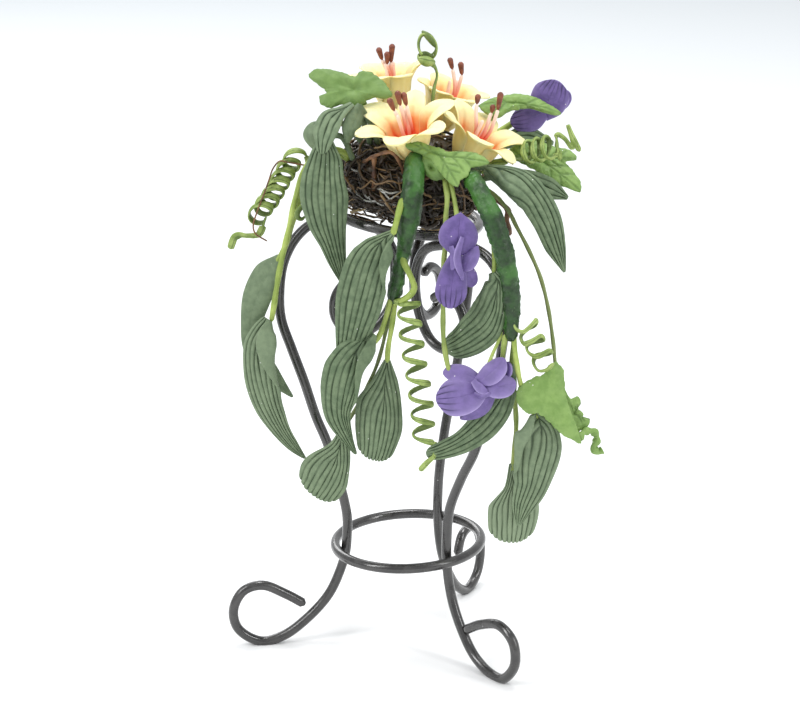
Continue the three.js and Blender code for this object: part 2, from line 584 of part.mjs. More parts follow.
const GROOVED_LEAVES = [
  {
    name: 'leaf_top_left', facing: [[-0.3, -0.8, 0.6], [-0.3, -0.9, 0.2]], fold: 0.3,
    spine: [[-6.2, -6.4, 78.4], [-8.0, -8.2, 78.2], [-9.6, -9.4, 76.4], [-10.6, -10.4, 73.9]],
    halfWidths: [0.7, 2.0, 2.1, 0.2],
    stalk: [[-6.4, -6.6, 78.3], [-5.4, -5.0, 76.0], [-4.4, -3.8, 73.0]],
  },
  {
    name: 'leaf_top_left_behind', facing: [LEFT_FRONT, LEFT_FRONT],
    spine: [[-7.4, -3.4, 77.4], [-10.4, -4.6, 77.2], [-12.4, -5.4, 75.4], [-12.6, -6.0, 73.4]],
    halfWidths: [0.5, 1.5, 1.5, 0.2],
    stalk: [[-7.6, -3.5, 77.4], [-6.2, -2.8, 75.6], [-5.2, -2.4, 72.8]],
  },
  {
    name: 'leaf_top_shaded', facing: [RIGHT_FRONT, RIGHT_FRONT], fold: 0.2,
    spine: [[-5.2, -5.6, 77.8], [-5.8, -7.4, 76.2], [-6.8, -8.6, 74.2]],
    halfWidths: [0.6, 1.5, 0.3], rows: 6,
    stalk: [[-5.2, -5.7, 77.7], [-4.2, -4.6, 75.6], [-3.4, -4.0, 73.2]],
  },
  {
    name: 'leaf_long_left', facing: [[-0.1, -1, 0.3], [0.1, -1, 0]], fold: 0.3,
    spine: [[-9.4, -8.9, 74.4], [-10.6, -10.4, 70.6], [-10.5, -11.0, 66.0], [-9.6, -11.1, 61.4],
      [-8.8, -10.8, 58.2], [-8.0, -10.4, 55.4]],
    halfWidths: [0.6, 3.2, 3.5, 2.4, 1.3, 0.2],
    stalk: [[-9.5, -9.0, 74.2], [-8.4, -7.4, 73.8], [-6.8, -5.2, 71.4]],
  },
  {
    name: 'leaf_far_left_back', facing: [[-0.5, -0.9, 0], [0.2, -1, 0]], fold: 0.1, relief: 0.05,
    spine: [[-17.2, -5.6, 58.4], [-19.6, -5.0, 55.5], [-20.9, -4.6, 51.5], [-20.4, -4.0, 46.6],
      [-18.4, -3.8, 41.8], [-15.8, -3.8, 37.6]],
    halfWidths: [0.6, 1.9, 2.3, 2.2, 1.5, 0.2],
  },
  {
    name: 'leaf_far_left', facing: [LEFT_FRONT, [-0.1, -1, 0.1]], fold: 0.45,
    spine: [[-18.4, -6.8, 49.7], [-19.7, -7.6, 45.6], [-19.4, -8.0, 40.6], [-17.4, -7.9, 35.2],
      [-14.3, -7.4, 30.2]],
    halfWidths: [0.9, 2.7, 2.9, 1.8, 0.2],
  },
  {
    name: 'leaf_centre_upper', facing: [[0.1, -1, 0.2], FRONT], fold: 0.35,
    spine: [[-1.7, -15.1, 63.7], [-3.5, -15.7, 60.6], [-5.6, -15.6, 56.6], [-6.9, -14.6, 52.4],
      [-8.0, -12.9, 48.2]],
    halfWidths: [0.6, 2.6, 3.5, 3.1, 1.3],
  },
  {
    name: 'leaf_centre_lower', facing: [[0.2, -1, 0.2], FRONT], fold: 0.4,
    spine: [[-4.1, -13.2, 49.2], [-6.4, -14.4, 46.4], [-8.5, -14.8, 42.4], [-8.6, -14.2, 38.2],
      [-7.6, -13.4, 35.0], [-6.7, -12.8, 32.6]],
    halfWidths: [0.8, 2.8, 3.1, 2.2, 1.0, 0.2],
  },
  {
    name: 'leaf_centre_low_round', facing: [FRONT, [-0.2, -1, 0.2]], fold: 0.25,
    spine: [[-8.3, -10.4, 34.8], [-9.2, -10.9, 31.9], [-11.0, -11.5, 29.0], [-13.3, -11.8, 26.8]],
    halfWidths: [0.5, 2.0, 3.0, 1.3],
  },
  {
    name: 'leaf_spoon', facing: [FRONT, FRONT], fold: 0.15, cup: 0.15,
    spine: [[-2.5, -12.4, 45.7], [-2.9, -12.9, 42.1], [-3.5, -13.2, 37.8], [-3.9, -13.2, 34.0],
      [-4.5, -13.0, 31.4]],
    halfWidths: [0.5, 1.6, 3.5, 3.0, 0.9],
  },
  {
    name: 'leaf_long_right', facing: [[0.2, -0.6, 0.8], [0.1, -1, 0.1]], fold: 0.25,
    spine: [[10.6, -7.6, 71.0], [13.4, -10.6, 70.2], [16.6, -12.2, 67.4], [19.2, -12.9, 62.8],
      [20.9, -12.8, 57.8]],
    halfWidths: [0.9, 2.4, 3.0, 2.4, 0.2],
    stalk: [[10.8, -7.8, 70.9], [9.2, -5.6, 70.4], [7.4, -4.0, 69.0]],
  },
  {
    name: 'leaf_right_behind', facing: [[0.1, -0.7, 0.7], [0.1, -0.9, 0.4]],
    spine: [[12.4, -4.6, 69.0], [16.0, -5.6, 68.8], [19.2, -6.0, 67.6], [21.8, -6.2, 66.2]],
    halfWidths: [0.6, 1.5, 1.6, 0.2], rows: 6,
    stalk: [[12.6, -4.7, 69.0], [10.4, -4.0, 68.4], [8.0, -3.2, 67.6]],
  },
  {
    name: 'leaf_right_shaded', facing: [[0, -0.7, 0.7], [0, -0.8, 0.5]],
    spine: [[13.0, 1.8, 71.6], [16.4, 2.6, 72.8], [20.4, 3.0, 71.6]],
    halfWidths: [0.6, 1.6, 0.2], rows: 6,
    stalk: [[13.2, 1.8, 71.7], [10.6, 1.2, 70.6], [8.2, 0.8, 69.4]],
  },
  {
    name: 'leaf_curved_upper', facing: [[-0.3, -1, 0.1], [-0.35, -1, 0.2]], fold: 0.3,
    spine: [[11.5, -16.4, 58.7], [12.0, -16.6, 55.4], [10.9, -15.9, 51.8], [8.4, -14.4, 49.3],
      [5.9, -12.9, 48.2]],
    halfWidths: [0.7, 2.1, 2.6, 2.2, 1.0],
  },
  {
    name: 'leaf_curved_lower', facing: [[0.2, -1, 0.2], [-0.2, -1, 0.2]], fold: 0.2,
    spine: [[13.9, -15.4, 45.9], [14.2, -15.4, 42.1], [12.0, -15.7, 38.4], [8.0, -15.9, 35.6],
      [2.7, -15.9, 33.6]],
    halfWidths: [0.7, 1.6, 1.9, 1.7, 0.4],
  },
  {
    name: 'leaf_right_hanging', facing: [[0.1, -1, 0.2], [0.1, -1, 0.1]], fold: 0.3,
    spine: [[16.3, -16.0, 41.8], [17.4, -16.2, 38.2], [17.8, -16.2, 33.9], [17.0, -15.9, 28.8],
      [15.0, -15.6, 23.7]],
    halfWidths: [0.6, 2.5, 3.0, 2.3, 0.2],
  },
  {
    name: 'leaf_right_lowest', facing: [FRONT, FRONT], fold: 0.2,
    spine: [[14.2, -13.0, 31.3], [13.8, -13.2, 27.4], [14.1, -13.3, 23.2], [14.3, -13.3, 19.4]],
    halfWidths: [0.5, 2.0, 3.8, 1.6],
  },
];
for (const { name, stalk, ...leaf } of GROOVED_LEAVES) {
  const shape = blade(leaf);
  add(name, stalk ? withStalk(shape, stalk) : shape, GREY_LEAF);
}

// ---- tendrils -----------------------------------------------------------------------------
add('tendril_left', coil({
  from: [-14.8, -3.6, 71.2], to: [-20.8, -4.6, 62.6], radius: 1.5, turns: 7,
  facing: [-0.75, 0.45, -0.5],
  lead: [[-8.4, -3.4, 70.0], [-11.4, -3.2, 71.2]],
  tail: [[-20.4, -5.6, 60.9], [-21.8, -5.4, 60.9], [-23.6, -5.2, 59.9]],
}), TENDRIL_GREEN);
add('tendril_centre', coil({
  from: [0.9, -14.8, 53.6], to: [2.6, -14.8, 34.6], radius: 1.45, turns: 8.25,
  lead: [[0.4, -14.3, 57.8], [0.9, -15.0, 55.8]],
  tail: [[2.6, -16.4, 33.2], [1.8, -16.6, 31.0]],
}), TENDRIL_GREEN);
add('tendril_right', coil({
  from: [16.6, -17.2, 52.2], to: [18.2, -15.2, 46.6], radius: 1.35, turns: 4,
  lead: [[15.4, -17.2, 52.6]],
}), TENDRIL_GREEN);
add('tendril_far_right', coil({
  from: [15.4, -4.6, 71.8], to: [23.2, -5.0, 73.6], radius: 1.3, turns: 3.5,
  lead: [[11.4, -3.6, 69.8], [13.4, -4.4, 71.0]],
}), TENDRIL_GREEN);
add('tendril_top', tube([
  [3.4, 0.6, 73.6], [4.2, 1.2, 77.6], [4.7, 1.4, 81.0], [4.4, 1.2, 83.2], [3.4, 0.2, 84.4],
  [2.4, 0.8, 83.9], [2.5, 1.7, 83.2], [3.6, 2.2, 83.8], [4.3, 1.8, 85.4], [4.0, 1.4, 87.2],
  [2.9, 1.2, 87.7], [2.2, 1.0, 86.6], [2.3, 0.8, 85.2],
], TENDRIL_RADIUS, TENDRIL_SIDES, 28), TENDRIL_GREEN);

// ---- twigs --------------------------------------------------------------------------------
add('twig_arch', tube([
  [-5.6, -6.0, 71.0], [-5.0, -8.4, 72.8], [-2.6, -9.4, 73.7], [-1.1, -9.8, 72.6],
  [-0.6, -8.6, 70.4], [-0.6, -7.0, 69.0],
], 0.35, STEM_SIDES, 12), BROWN_TWIG);
add('twig_right', tube([
  [10.4, -5.0, 68.0], [12.1, -6.4, 66.6], [13.3, -7.0, 64.6], [13.6, -7.2, 62.2],
], 0.5, STEM_SIDES, 6), BROWN_TWIG);

// ---- moss nest ----------------------------------------------------------------------------
// A pad of moss and fibre lies in the pot ring on the turned-over legs. Loops of fibre stand
// out of it. Everything that grows from it stands in a hole of its own.
function seededDraw(seed) {
  let state = seed;
  return () => {
    state = (state * 16807) % 2147483647;
    return state / 2147483647;
  };
}

function mossNest({ centre, radii, strands, seed }) {
  const draw = seededDraw(seed);
  const onPad = (bearing, lift, reach) => [
    radii[0] * reach * Math.cos(bearing) * Math.cos(lift),
    radii[1] * reach * Math.sin(bearing) * Math.cos(lift),
    radii[2] * reach * Math.sin(lift),
  ];
  const pad = new THREE.SphereGeometry(1, 20, 10).rotateX(Math.PI / 2);
  const places = pad.attributes.position;
  for (let i = 0; i < places.count; i += 1) {
    const [x, y, z] = [places.getX(i), places.getY(i), places.getZ(i)];
    const lump = 1 + 0.05 * Math.sin(7 * x + 3 * z) * Math.cos(6 * y - 4 * z);
    const fullness = Math.max(Math.hypot(x, y), 1e-6) ** -0.45; // steeper sides than a ball
    places.setXYZ(i, x * fullness * radii[0] * lump, y * fullness * radii[1] * lump, z * radii[2]);
  }
  const parts = [pad];
  for (let i = 0; i < strands; i += 1) {
    const bearing = 2 * Math.PI * ((i + 0.6 * draw()) / strands);
    const lift = -0.35 + 0.9 * draw();
    const run = 0.35 + 0.25 * draw();
    const loop = [
      onPad(bearing - run, lift - 0.1, 0.9), onPad(bearing, lift + 0.12, 1.07),
      onPad(bearing + run, lift - 0.05, 0.9),
    ];
    parts.push(tube(loop, 0.4, 4, 3));
  }
  return join(parts.map((part) => part.rotateY(-Math.atan(POT_RING.rise)).translate(...centre)));
}

add('moss_nest', mossNest(MOSS), DARK_MOSS);

export default planter;
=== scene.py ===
import math

import bpy
import numpy as np
from mathutils import Matrix, Vector, noise


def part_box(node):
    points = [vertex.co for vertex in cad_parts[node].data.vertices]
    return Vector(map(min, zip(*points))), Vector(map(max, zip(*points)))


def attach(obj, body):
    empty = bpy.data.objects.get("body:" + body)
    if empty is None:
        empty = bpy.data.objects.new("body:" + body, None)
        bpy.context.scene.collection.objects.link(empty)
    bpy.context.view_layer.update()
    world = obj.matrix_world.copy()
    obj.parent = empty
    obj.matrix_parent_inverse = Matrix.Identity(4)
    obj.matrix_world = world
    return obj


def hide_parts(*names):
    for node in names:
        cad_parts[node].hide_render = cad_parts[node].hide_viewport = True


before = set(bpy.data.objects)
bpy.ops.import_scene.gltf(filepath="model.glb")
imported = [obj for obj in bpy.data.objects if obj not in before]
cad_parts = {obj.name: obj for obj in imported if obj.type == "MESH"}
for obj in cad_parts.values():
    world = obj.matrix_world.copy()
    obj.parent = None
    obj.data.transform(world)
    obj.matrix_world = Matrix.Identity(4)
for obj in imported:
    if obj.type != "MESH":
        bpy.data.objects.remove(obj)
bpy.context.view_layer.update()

# ---- Camera -------------------------------------------------------------------------------
# The miniature was photographed from the front and a little above, through a long lens.
# Places below are in millimetres from the stand's upright axis, which the lower ring gives.
MM = 0.001
ring_low, ring_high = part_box("lower_ring")
STAND_AXIS = np.array([(ring_low.x + ring_high.x) / 2, (ring_low.y + ring_high.y) / 2, 0.0])
CAMERA_PLACE = [-0.886, -328.04, 147.63]
CAMERA_PITCH = 0.3106
CAMERA_ROLL = -0.0103
SENSOR_WIDTH = 36.0
LENS = 111.3


def from_axis(places):
    """Places in millimetres from the stand's axis, as metres in the frame of the part."""
    return np.asarray(places, float) * MM + STAND_AXIS


def placed(name, data):
    """A new object in the scene, with its origin where the part has its own."""
    made = bpy.data.objects.new(name, data)
    bpy.context.scene.collection.objects.link(made)
    return made


level_right = Vector((1, 0, 0))
level_up = Vector((0, math.sin(CAMERA_PITCH), math.cos(CAMERA_PITCH)))
camera_right = level_right * math.cos(CAMERA_ROLL) + level_up * math.sin(CAMERA_ROLL)
camera_up = level_up * math.cos(CAMERA_ROLL) - level_right * math.sin(CAMERA_ROLL)
camera_axes = Matrix((camera_right, camera_up, camera_right.cross(camera_up))).transposed()
camera_data = bpy.data.cameras.new("photo_camera")
camera_data.lens = LENS
camera_data.sensor_width = SENSOR_WIDTH
camera = placed("photo_camera", camera_data)
camera.matrix_world = Matrix.Translation(Vector(from_axis(CAMERA_PLACE))) @ camera_axes.to_4x4()
bpy.context.scene.camera = camera

# ---- Floor and light ----------------------------------------------------------------------
# A plain white tabletop that runs out of sight, under soft boxes on both sides and above.
FLOOR_REACH = 3.0
FLOOR_FADES_OVER = 0.60
SKY_STRENGTH = 0.78
LAMP_TARGET = Vector((0, 0, 0.05))
SOFT_BOXES = [  # name, place, width, height, watts
    ("box_left", (-0.42, -0.25, 0.42), 0.12, 0.40, 1.5),
    ("box_right", (0.45, -0.30, 0.36), 0.10, 0.40, 1.1),
    ("box_above", (0.05, 0.05, 0.60), 0.30, 0.16, 1.6),
    ("box_behind", (-0.20, 0.50, 0.35), 0.25, 0.25, 0.7),
]


def node_maker(tree):
    """A function that adds a node to a tree, with its options and its set or wired inputs."""
    def node(kind, values=None, **options):
        made = tree.nodes.new(kind)
        for key, value in options.items():
            setattr(made, key, value)
        for socket, value in (values or {}).items():
            if isinstance(value, bpy.types.NodeSocket):
                tree.links.new(value, made.inputs[socket])
            else:
                made.inputs[socket].default_value = value
        return made

    return node


def new_material(name, finish):
    """A material with a plain finish, and functions that add nodes and feed its shader."""
    material = bpy.data.materials.new(name)
    material.use_nodes = True
    tree = material.node_tree
    shader = tree.nodes["Principled BSDF"]
    for socket, value in finish.items():
        shader.inputs[socket].default_value = value

    def feed(socket, source):
        tree.links.new(source, shader.inputs[socket])

    return material, node_maker(tree), feed


def share_of(node, value, low, high, most=1.0):
    """Where a value lies between two marks, as a share that goes up to the most given."""
    return node("ShaderNodeMapRange", {"Value": value, "From Min": low, "From Max": high,
                                       "To Max": most}).outputs["Result"]


def blended(node, share, first, second):
    """Two colours mixed by a share, where each is three numbers or comes from a node."""
    first, second = (tone if isinstance(tone, bpy.types.NodeSocket) else (*tone, 1)
                     for tone in (first, second))
    return node("ShaderNodeMix", {"Factor": share, "A": first, "B": second},
                data_type="RGBA").outputs["Result"]


floor_mesh = bpy.data.meshes.new("tabletop")
floor_corners = [(x * FLOOR_REACH, y * FLOOR_REACH, 0) for x, y in ((-1, -1), (1, -1), (1, 1), (-1, 1))]
floor_mesh.from_pydata(floor_corners, [], [(0, 1, 2, 3)])
tabletop_white, node, feed = new_material("tabletop_white",
                                          {"Roughness": 0.9, "Specular IOR Level": 0.1})
paper = node("ShaderNodeTexNoise", {"Scale": 40.0, "Detail": 3.0})
paper_tint = blended(node, paper.outputs["Fac"], (0.90, 0.905, 0.91), (0.93, 0.93, 0.93))
across_floor = node("ShaderNodeSeparateXYZ", {0: node("ShaderNodeTexCoord").outputs["Object"]})
# Away from the camera the tabletop is painted darker and bluer: painted shade on the far floor.
painted_far_shade = share_of(node, across_floor.outputs["Y"], 0.0, FLOOR_FADES_OVER)
feed("Base Color", blended(node, painted_far_shade, paper_tint, (0.70, 0.735, 0.76)))
floor_mesh.materials.append(tabletop_white)
tabletop = placed("tabletop", floor_mesh)

sky = bpy.data.worlds.new("studio_tent")
sky.use_nodes = True
sky.node_tree.nodes["Background"].inputs["Color"].default_value = (0.97, 0.985, 1.0, 1)
sky.node_tree.nodes["Background"].inputs["Strength"].default_value = SKY_STRENGTH
bpy.context.scene.world = sky
bpy.context.scene.view_settings.view_transform = "Standard"
for name, place, width, height, watts in SOFT_BOXES:
    lamp_data = bpy.data.lights.new(name, "AREA")
    lamp_data.shape = "RECTANGLE"
    lamp_data.size, lamp_data.size_y = width, height
    lamp_data.energy = watts
    turn = (LAMP_TARGET - Vector(place)).to_track_quat("-Z", "Y").to_matrix().to_4x4()
    placed(name, lamp_data).matrix_world = Matrix.Translation(Vector(place)) @ turn

# ---- Wire stand ---------------------------------------------------------------------------
# Three legs and two rings of 1.4 mm steel wire, bent by hand and dipped in gloss black paint.
# Each leg is one wire, as (distance from the axis, height), that turns a little on its way up.
WIRE_RADIUS = 0.7
WIRE_SIDES = 24
WIRE_STEP = 0.45
# Name, radius, height and rise to the right.
RINGS = [("lower_ring", 10.4, 14.6, 0.03), ("pot_ring", 10.2, 62.6, -0.14)]
LEGS = [
    ("leg_left", (187.6, 187.6), [
        (15.0, 5.8), (17.8, 7.6), (21.0, 9.1), (23.7, 8.4), (25.2, 5.6), (24.6, 2.6), (21.4, 0.45),
        (18.2, 1.1), (14.8, 3.5), (11.6, 7.0), (9.9, 10.5), (9.0, 13.5), (8.75, 16.0), (8.7, 18.8),
        (9.3, 22.4), (11.3, 30.0), (12.8, 34.0), (14.4, 39.4), (16.0, 44.2), (17.3, 48.4),
        (17.5, 51.7), (16.8, 56.6), (15.0, 60.0), (12.6, 62.0), (10.2, 62.5), (8.2, 62.4),
        (4.2, 61.0), (1.9, 58.0), (1.5, 54.0), (2.1, 49.8), (4.6, 46.6), (7.9, 46.0),
        (9.9, 48.6), (9.7, 51.5), (7.7, 53.8), (4.9, 54.5), (3.2, 54.0),
    ]),
    ("leg_right", (308, 313.5), [
        (12.9, 5.2), (16.4, 7.2), (20.2, 8.3), (23.0, 6.8), (23.4, 3.6), (20.9, 0.6), (18.0, 0.45),
        (14.7, 1.9), (12.2, 4.6), (10.2, 8.0), (9.2, 11.0), (8.75, 14.0), (8.7, 17.5),
        (9.2, 22.0), (11.4, 27.1), (14.0, 32.0), (16.2, 39.6), (18.2, 46.0),
        (19.0, 52.0), (18.4, 56.6), (16.4, 59.2), (13.4, 60.3), (10.2, 60.0), (7.2, 59.6),
        (4.0, 58.4), (2.4, 56.0), (1.9, 52.6), (2.9, 48.4), (5.0, 45.6), (7.8, 44.9),
        (10.6, 46.6), (11.4, 49.6), (10.0, 52.0), (7.2, 52.6), (5.2, 51.6),
    ]),
    ("leg_back", (60, 57.5), [
        (14.6, 7.0), (16.0, 9.6), (18.4, 10.2), (20.8, 8.8), (22.0, 5.6), (20.9, 2.0), (17.8, 0.4),
        (14.6, 2.0), (11.8, 5.4), (10.0, 8.8), (9.1, 12.0), (8.75, 15.0), (8.75, 18.4),
        (9.2, 22.4), (10.8, 28.6), (12.4, 33.0), (14.2, 38.4), (15.8, 44.0), (16.9, 48.4),
        (17.2, 52.0), (16.4, 56.4), (14.4, 59.2), (12.4, 60.3), (10.2, 60.3), (7.6, 60.0),
        (4.4, 58.6), (2.6, 56.0), (2.1, 52.4), (3.0, 48.8), (5.2, 46.8), (7.8, 47.2),
        (9.2, 49.6), (8.6, 52.2), (6.4, 53.6), (4.4, 53.0),
    ]),
]
LEG_TURN_HEIGHTS = (14.0, 46.0)
RING_POINTS = 96
POINTS_PER_BEND = 30
FIRST_SIDE = (0.31, 0.17, 0.93)  # no line starts this way


def smooth_line(places, count):
    """Points along a smooth line through the given places, evenly spaced by parameter."""
    knots = np.asarray(places, float)
    if len(knots) == 2:
        share = np.linspace(0, 1, count)[:, None]
        return knots[0] * (1 - share) + knots[1] * share
    knots = np.vstack([2 * knots[0] - knots[1], knots, 2 * knots[-1] - knots[-2]])
    gaps = np.maximum(np.linalg.norm(np.diff(knots, axis=0), axis=1) ** 0.5, 1e-4)
    line = []
    for mark in np.linspace(0, len(places) - 1, count):
        i = min(int(mark), len(places) - 2)
        w = mark - i
        before, here, after, beyond = knots[i:i + 4]
        gap0, gap1, gap2 = gaps[i:i + 3]
        leave = ((here - before) / gap0 - (after - before) / (gap0 + gap1)
                 + (after - here) / gap1) * gap1
        arrive = ((after - here) / gap1 - (beyond - here) / (gap1 + gap2)
                  + (beyond - after) / gap2) * gap1
        step = after - here
        line.append(here + w * leave + w * w * (3 * step - 2 * leave - arrive)
                    + w ** 3 * (leave + arrive - 2 * step))
    return np.array(line)


def reach_along(line):
    """How far each point of a line is from its start."""
    return np.concatenate([[0], np.cumsum(np.linalg.norm(np.diff(line, axis=0), axis=1))])


def even_line(places, spacing):
    """The same smooth line, with its points the same distance apart."""
    line = smooth_line(places, POINTS_PER_BEND * len(places))
    reach = reach_along(line)
    marks = np.linspace(0, reach[-1], max(4, int(round(reach[-1] / spacing)) + 1))
    return np.stack([np.interp(marks, reach, line[:, k]) for k in range(3)], axis=1)


def rounded_ends(line, radius, blunt=0.55):
    """How thick a rod is at each point of its line, as a share, with its cut ends eased."""
    reach = reach_along(line)
    inward = np.minimum(reach, reach[-1] - reach) / (blunt * radius)
    return np.sqrt(np.clip(1 - (1 - np.clip(inward, 0, 1)) ** 2, 0.2, 1))


def new_tree(name, kind, inputs, outputs):
    """A node tree with named inputs and outputs, its function for nodes, and what comes in."""
    tree = bpy.data.node_groups.new(name, kind)
    for label, socket, value in inputs:
        made = tree.interface.new_socket(label, in_out="INPUT", socket_type=f"NodeSocket{socket}")
        if value is not None:
            made.default_value = value
    for label, socket in outputs:
        tree.interface.new_socket(label, in_out="OUTPUT", socket_type=f"NodeSocket{socket}")
    node = node_maker(tree)
    return tree, node, node("NodeGroupInput").outputs


def worked(node, operation, *values):
    """One step of arithmetic in a node tree."""
    return node("ShaderNodeMath", dict(enumerate(values)), operation=operation).outputs[0]


def stored(node, name, kind="FLOAT"):
    """A measure that the points of a mesh carry, read in geometry nodes."""
    return node("GeometryNodeInputNamedAttribute", {"Name": name}, data_type=kind).outputs["Attribute"]


def kept(node, geometry, name, value):
    """The same line, whose points now carry a measure under a name."""
    return node("GeometryNodeStoreNamedAttribute", {"Geometry": geometry, "Name": name, "Value": value},
                data_type="FLOAT", domain="POINT").outputs["Geometry"]


def end_tree(node, geometry, material):
    """Ends geometry nodes with plain geometry in one material."""
    real = node("GeometryNodeRealizeInstances", {"Geometry": geometry})
    painted = node("GeometryNodeSetMaterial", {"Geometry": real.outputs["Geometry"],
                                               "Material": material})
    node("NodeGroupOutput", {"Geometry": painted.outputs["Geometry"]})


# Geometry nodes that sweep a round or flattened section along every line of an object.
ROD_TREE, node, sizes = new_tree("rod_along_line", "GeometryNodeTree", [
    ("Geometry", "Geometry", None), ("Radius", "Float", WIRE_RADIUS * MM), ("Sides", "Int", 20),
    ("Flatness", "Float", 1.0), ("Material", "Material", None)], [("Geometry", "Geometry")])
line = node("GeometryNodeMeshToCurve", {"Mesh": sizes["Geometry"]})
lie = node("GeometryNodeSetCurveNormal", {"Curve": line.outputs["Curve"],
                                          "Normal": stored(node, "lie", "FLOAT_VECTOR")}, mode="FREE")
measured = kept(node, lie.outputs["Curve"], "along",
                node("GeometryNodeSplineParameter").outputs["Length"])
section = node("GeometryNodeCurvePrimitiveCircle", {"Radius": 1.0, "Resolution": sizes["Sides"]})
flat = node("ShaderNodeCombineXYZ", {"X": 1.0, "Y": sizes["Flatness"], "Z": 1.0})
pressed = node("GeometryNodeTransform", {"Geometry": section.outputs["Curve"],
                                         "Scale": flat.outputs["Vector"]})
marked = kept(node, pressed.outputs["Geometry"], "around",
              node("GeometryNodeSplineParameter").outputs["Factor"])
thickness = worked(node, "MULTIPLY", sizes["Radius"], stored(node, "girth"))
sweep = node("GeometryNodeCurveToMesh", {"Curve": measured, "Profile Curve": marked,
                                         "Scale": thickness, "Fill Caps": True})
soft = node("GeometryNodeSetShadeSmooth", {"Geometry": sweep.outputs["Mesh"]})
end_tree(node, soft.outputs["Geometry"], sizes["Material"])


def add_nodes(piece, tree, values):
    """Puts geometry nodes on a piece, and sets their inputs through the sockets' identifiers."""
    modifier = piece.modifiers.new(tree.name, "NODES")
    modifier.node_group = tree
    for item in tree.interface.items_tree:
        if item.in_out == "INPUT" and item.name in values:
            modifier[item.identifier] = values[item.name]
    return piece


def made_solid(piece):
    """Turns what a piece's modifiers make into its plain mesh."""
    shown = piece.evaluated_get(bpy.context.evaluated_depsgraph_get())
    mesh = bpy.data.meshes.new_from_object(shown)
    piece.modifiers.clear()
    piece.data = mesh
    return piece


def fasten(piece, slot, *nodes):
    """A finished piece stands on the part's one body, for the nodes that it replaces."""
    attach(piece, "root")
    if nodes:
        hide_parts(*nodes)
    return piece


def unit(directions):
    """The same directions, each with a length of one."""
    return directions / np.linalg.norm(directions, axis=-1, keepdims=True)


def side_of(line):
    """A direction across a line at each of its points, which turns as little as it can."""
    tangents = unit(np.gradient(line, axis=0))
    side = np.cross(tangents[0], FIRST_SIDE)
    sides = []
    for tangent in tangents:
        side = unit(side - tangent * side.dot(tangent))
        sides.append(side)
    return np.array(sides)


def note(mesh, name, values, kind="FLOAT"):
    """Writes a measure on every point of a mesh, for its nodes or its material to read."""
    layer = mesh.attributes.new(name, kind, "POINT")
    layer.data.foreach_set("value" if kind == "FLOAT" else "vector", np.ravel(values).astype(np.float32))


def rods(name, lines, radius, material, sides=12, flatness=1.0, girths=None, lies=None,
         closed=False):
    """One mesh of rods along the given lines, in millimetres from the stand's axis."""
    edges = []
    start = 0
    for line in lines:
        edges += [(start + i, start + i + 1) for i in range(len(line) - 1)]
        if closed:
            edges.append((start + len(line) - 1, start))
        start += len(line)
    mesh = bpy.data.meshes.new(name)
    mesh.from_pydata(from_axis(np.vstack(lines)).tolist(), edges, [])
    note(mesh, "girth", np.concatenate(girths or [rounded_ends(line, radius) for line in lines]))
    note(mesh, "lie", np.vstack(lies or [side_of(line) for line in lines]), "FLOAT_VECTOR")
    return add_nodes(placed(name, mesh), ROD_TREE, {
        "Radius": radius * MM, "Sides": sides, "Flatness": flatness, "Material": material})


# Shader nodes for what lies on every surface: fine mottling, white specks and a grain.
DUST, node, sizes = new_tree("surface_dust", "ShaderNodeTree", [
    ("Mottle Scale", "Float", 900.0), ("Speck Scale", "Float", 1500.0), ("Speck Share", "Float", 0.1),
    ("Grain Scale", "Float", 6000.0), ("Grain Height", "Float", 0.2)],
    [("Mottle", "Float"), ("Speck", "Float"), ("Normal", "Vector")])
place = node("ShaderNodeTexCoord").outputs["Object"]
mottle, grain = (node("ShaderNodeTexNoise", {"Vector": place, "Scale": sizes[f"{name} Scale"],
                                             "Detail": detail, "Roughness": 0.6}).outputs["Fac"]
                 for name, detail in (("Mottle", 5.0), ("Grain", 3.0)))
spread = node("ShaderNodeMapRange", {"Value": mottle, "From Min": 0.33, "From Max": 0.67},
              interpolation_type="SMOOTHSTEP")
cells = node("ShaderNodeTexVoronoi", {"Vector": place, "Scale": sizes["Speck Scale"]})
few = node("ShaderNodeSeparateColor", {"Color": cells.outputs["Color"]})
chosen = worked(node, "LESS_THAN", few.outputs["Red"], sizes["Speck Share"])
speck = worked(node, "MULTIPLY", chosen, share_of(node, cells.outputs["Distance"], 0.22, 0.1))
rough = node("ShaderNodeBump", {"Distance": 0.00006, "Strength": sizes["Grain Height"],
                                "Height": grain})
node("NodeGroupOutput", {"Mottle": spread.outputs["Result"], "Speck": speck,
                         "Normal": rough.outputs["Normal"]})


def dusted(name, finish, mottle, specks, grain):
    """A material under that dust, with the scale of its mottling, and the scale and the amount
    of its specks and of its grain."""
    material, node, feed = new_material(name, finish)
    dust = node("ShaderNodeGroup", {"Mottle Scale": mottle, "Speck Scale": specks[0],
                                    "Speck Share": specks[1], "Grain Scale": grain[0],
                                    "Grain Height": grain[1]}, node_tree=DUST)
    feed("Normal", dust.outputs["Normal"])
    return material, node, feed, dust


def tinted(node, dust, dark, light, marks=(), speck=(0.85, 0.85, 0.82)):
    """The colour of a surface: two tones in its mottling, then any marks, then the specks."""
    tone = blended(node, dust.outputs["Mottle"], dark, light)
    for mask, colour in (*marks, (dust.outputs["Speck"], speck)):
        tone = blended(node, mask, tone, colour)
    return tone


gloss_black, node, feed, dust = dusted(
    "gloss_black_paint", {"IOR": 1.6, "Coat Weight": 0.5, "Coat Roughness": 0.12},
    500.0, (2600.0, 0.006), (1600.0, 0.5))
feed("Base Color", tinted(node, dust, (0.012, 0.0115, 0.011), (0.032, 0.030, 0.029)))
paint_shine = node("ShaderNodeMapRange", {"Value": dust.outputs["Mottle"], "To Min": 0.16,
                                          "To Max": 0.34})
feed("Roughness", paint_shine.outputs["Result"])

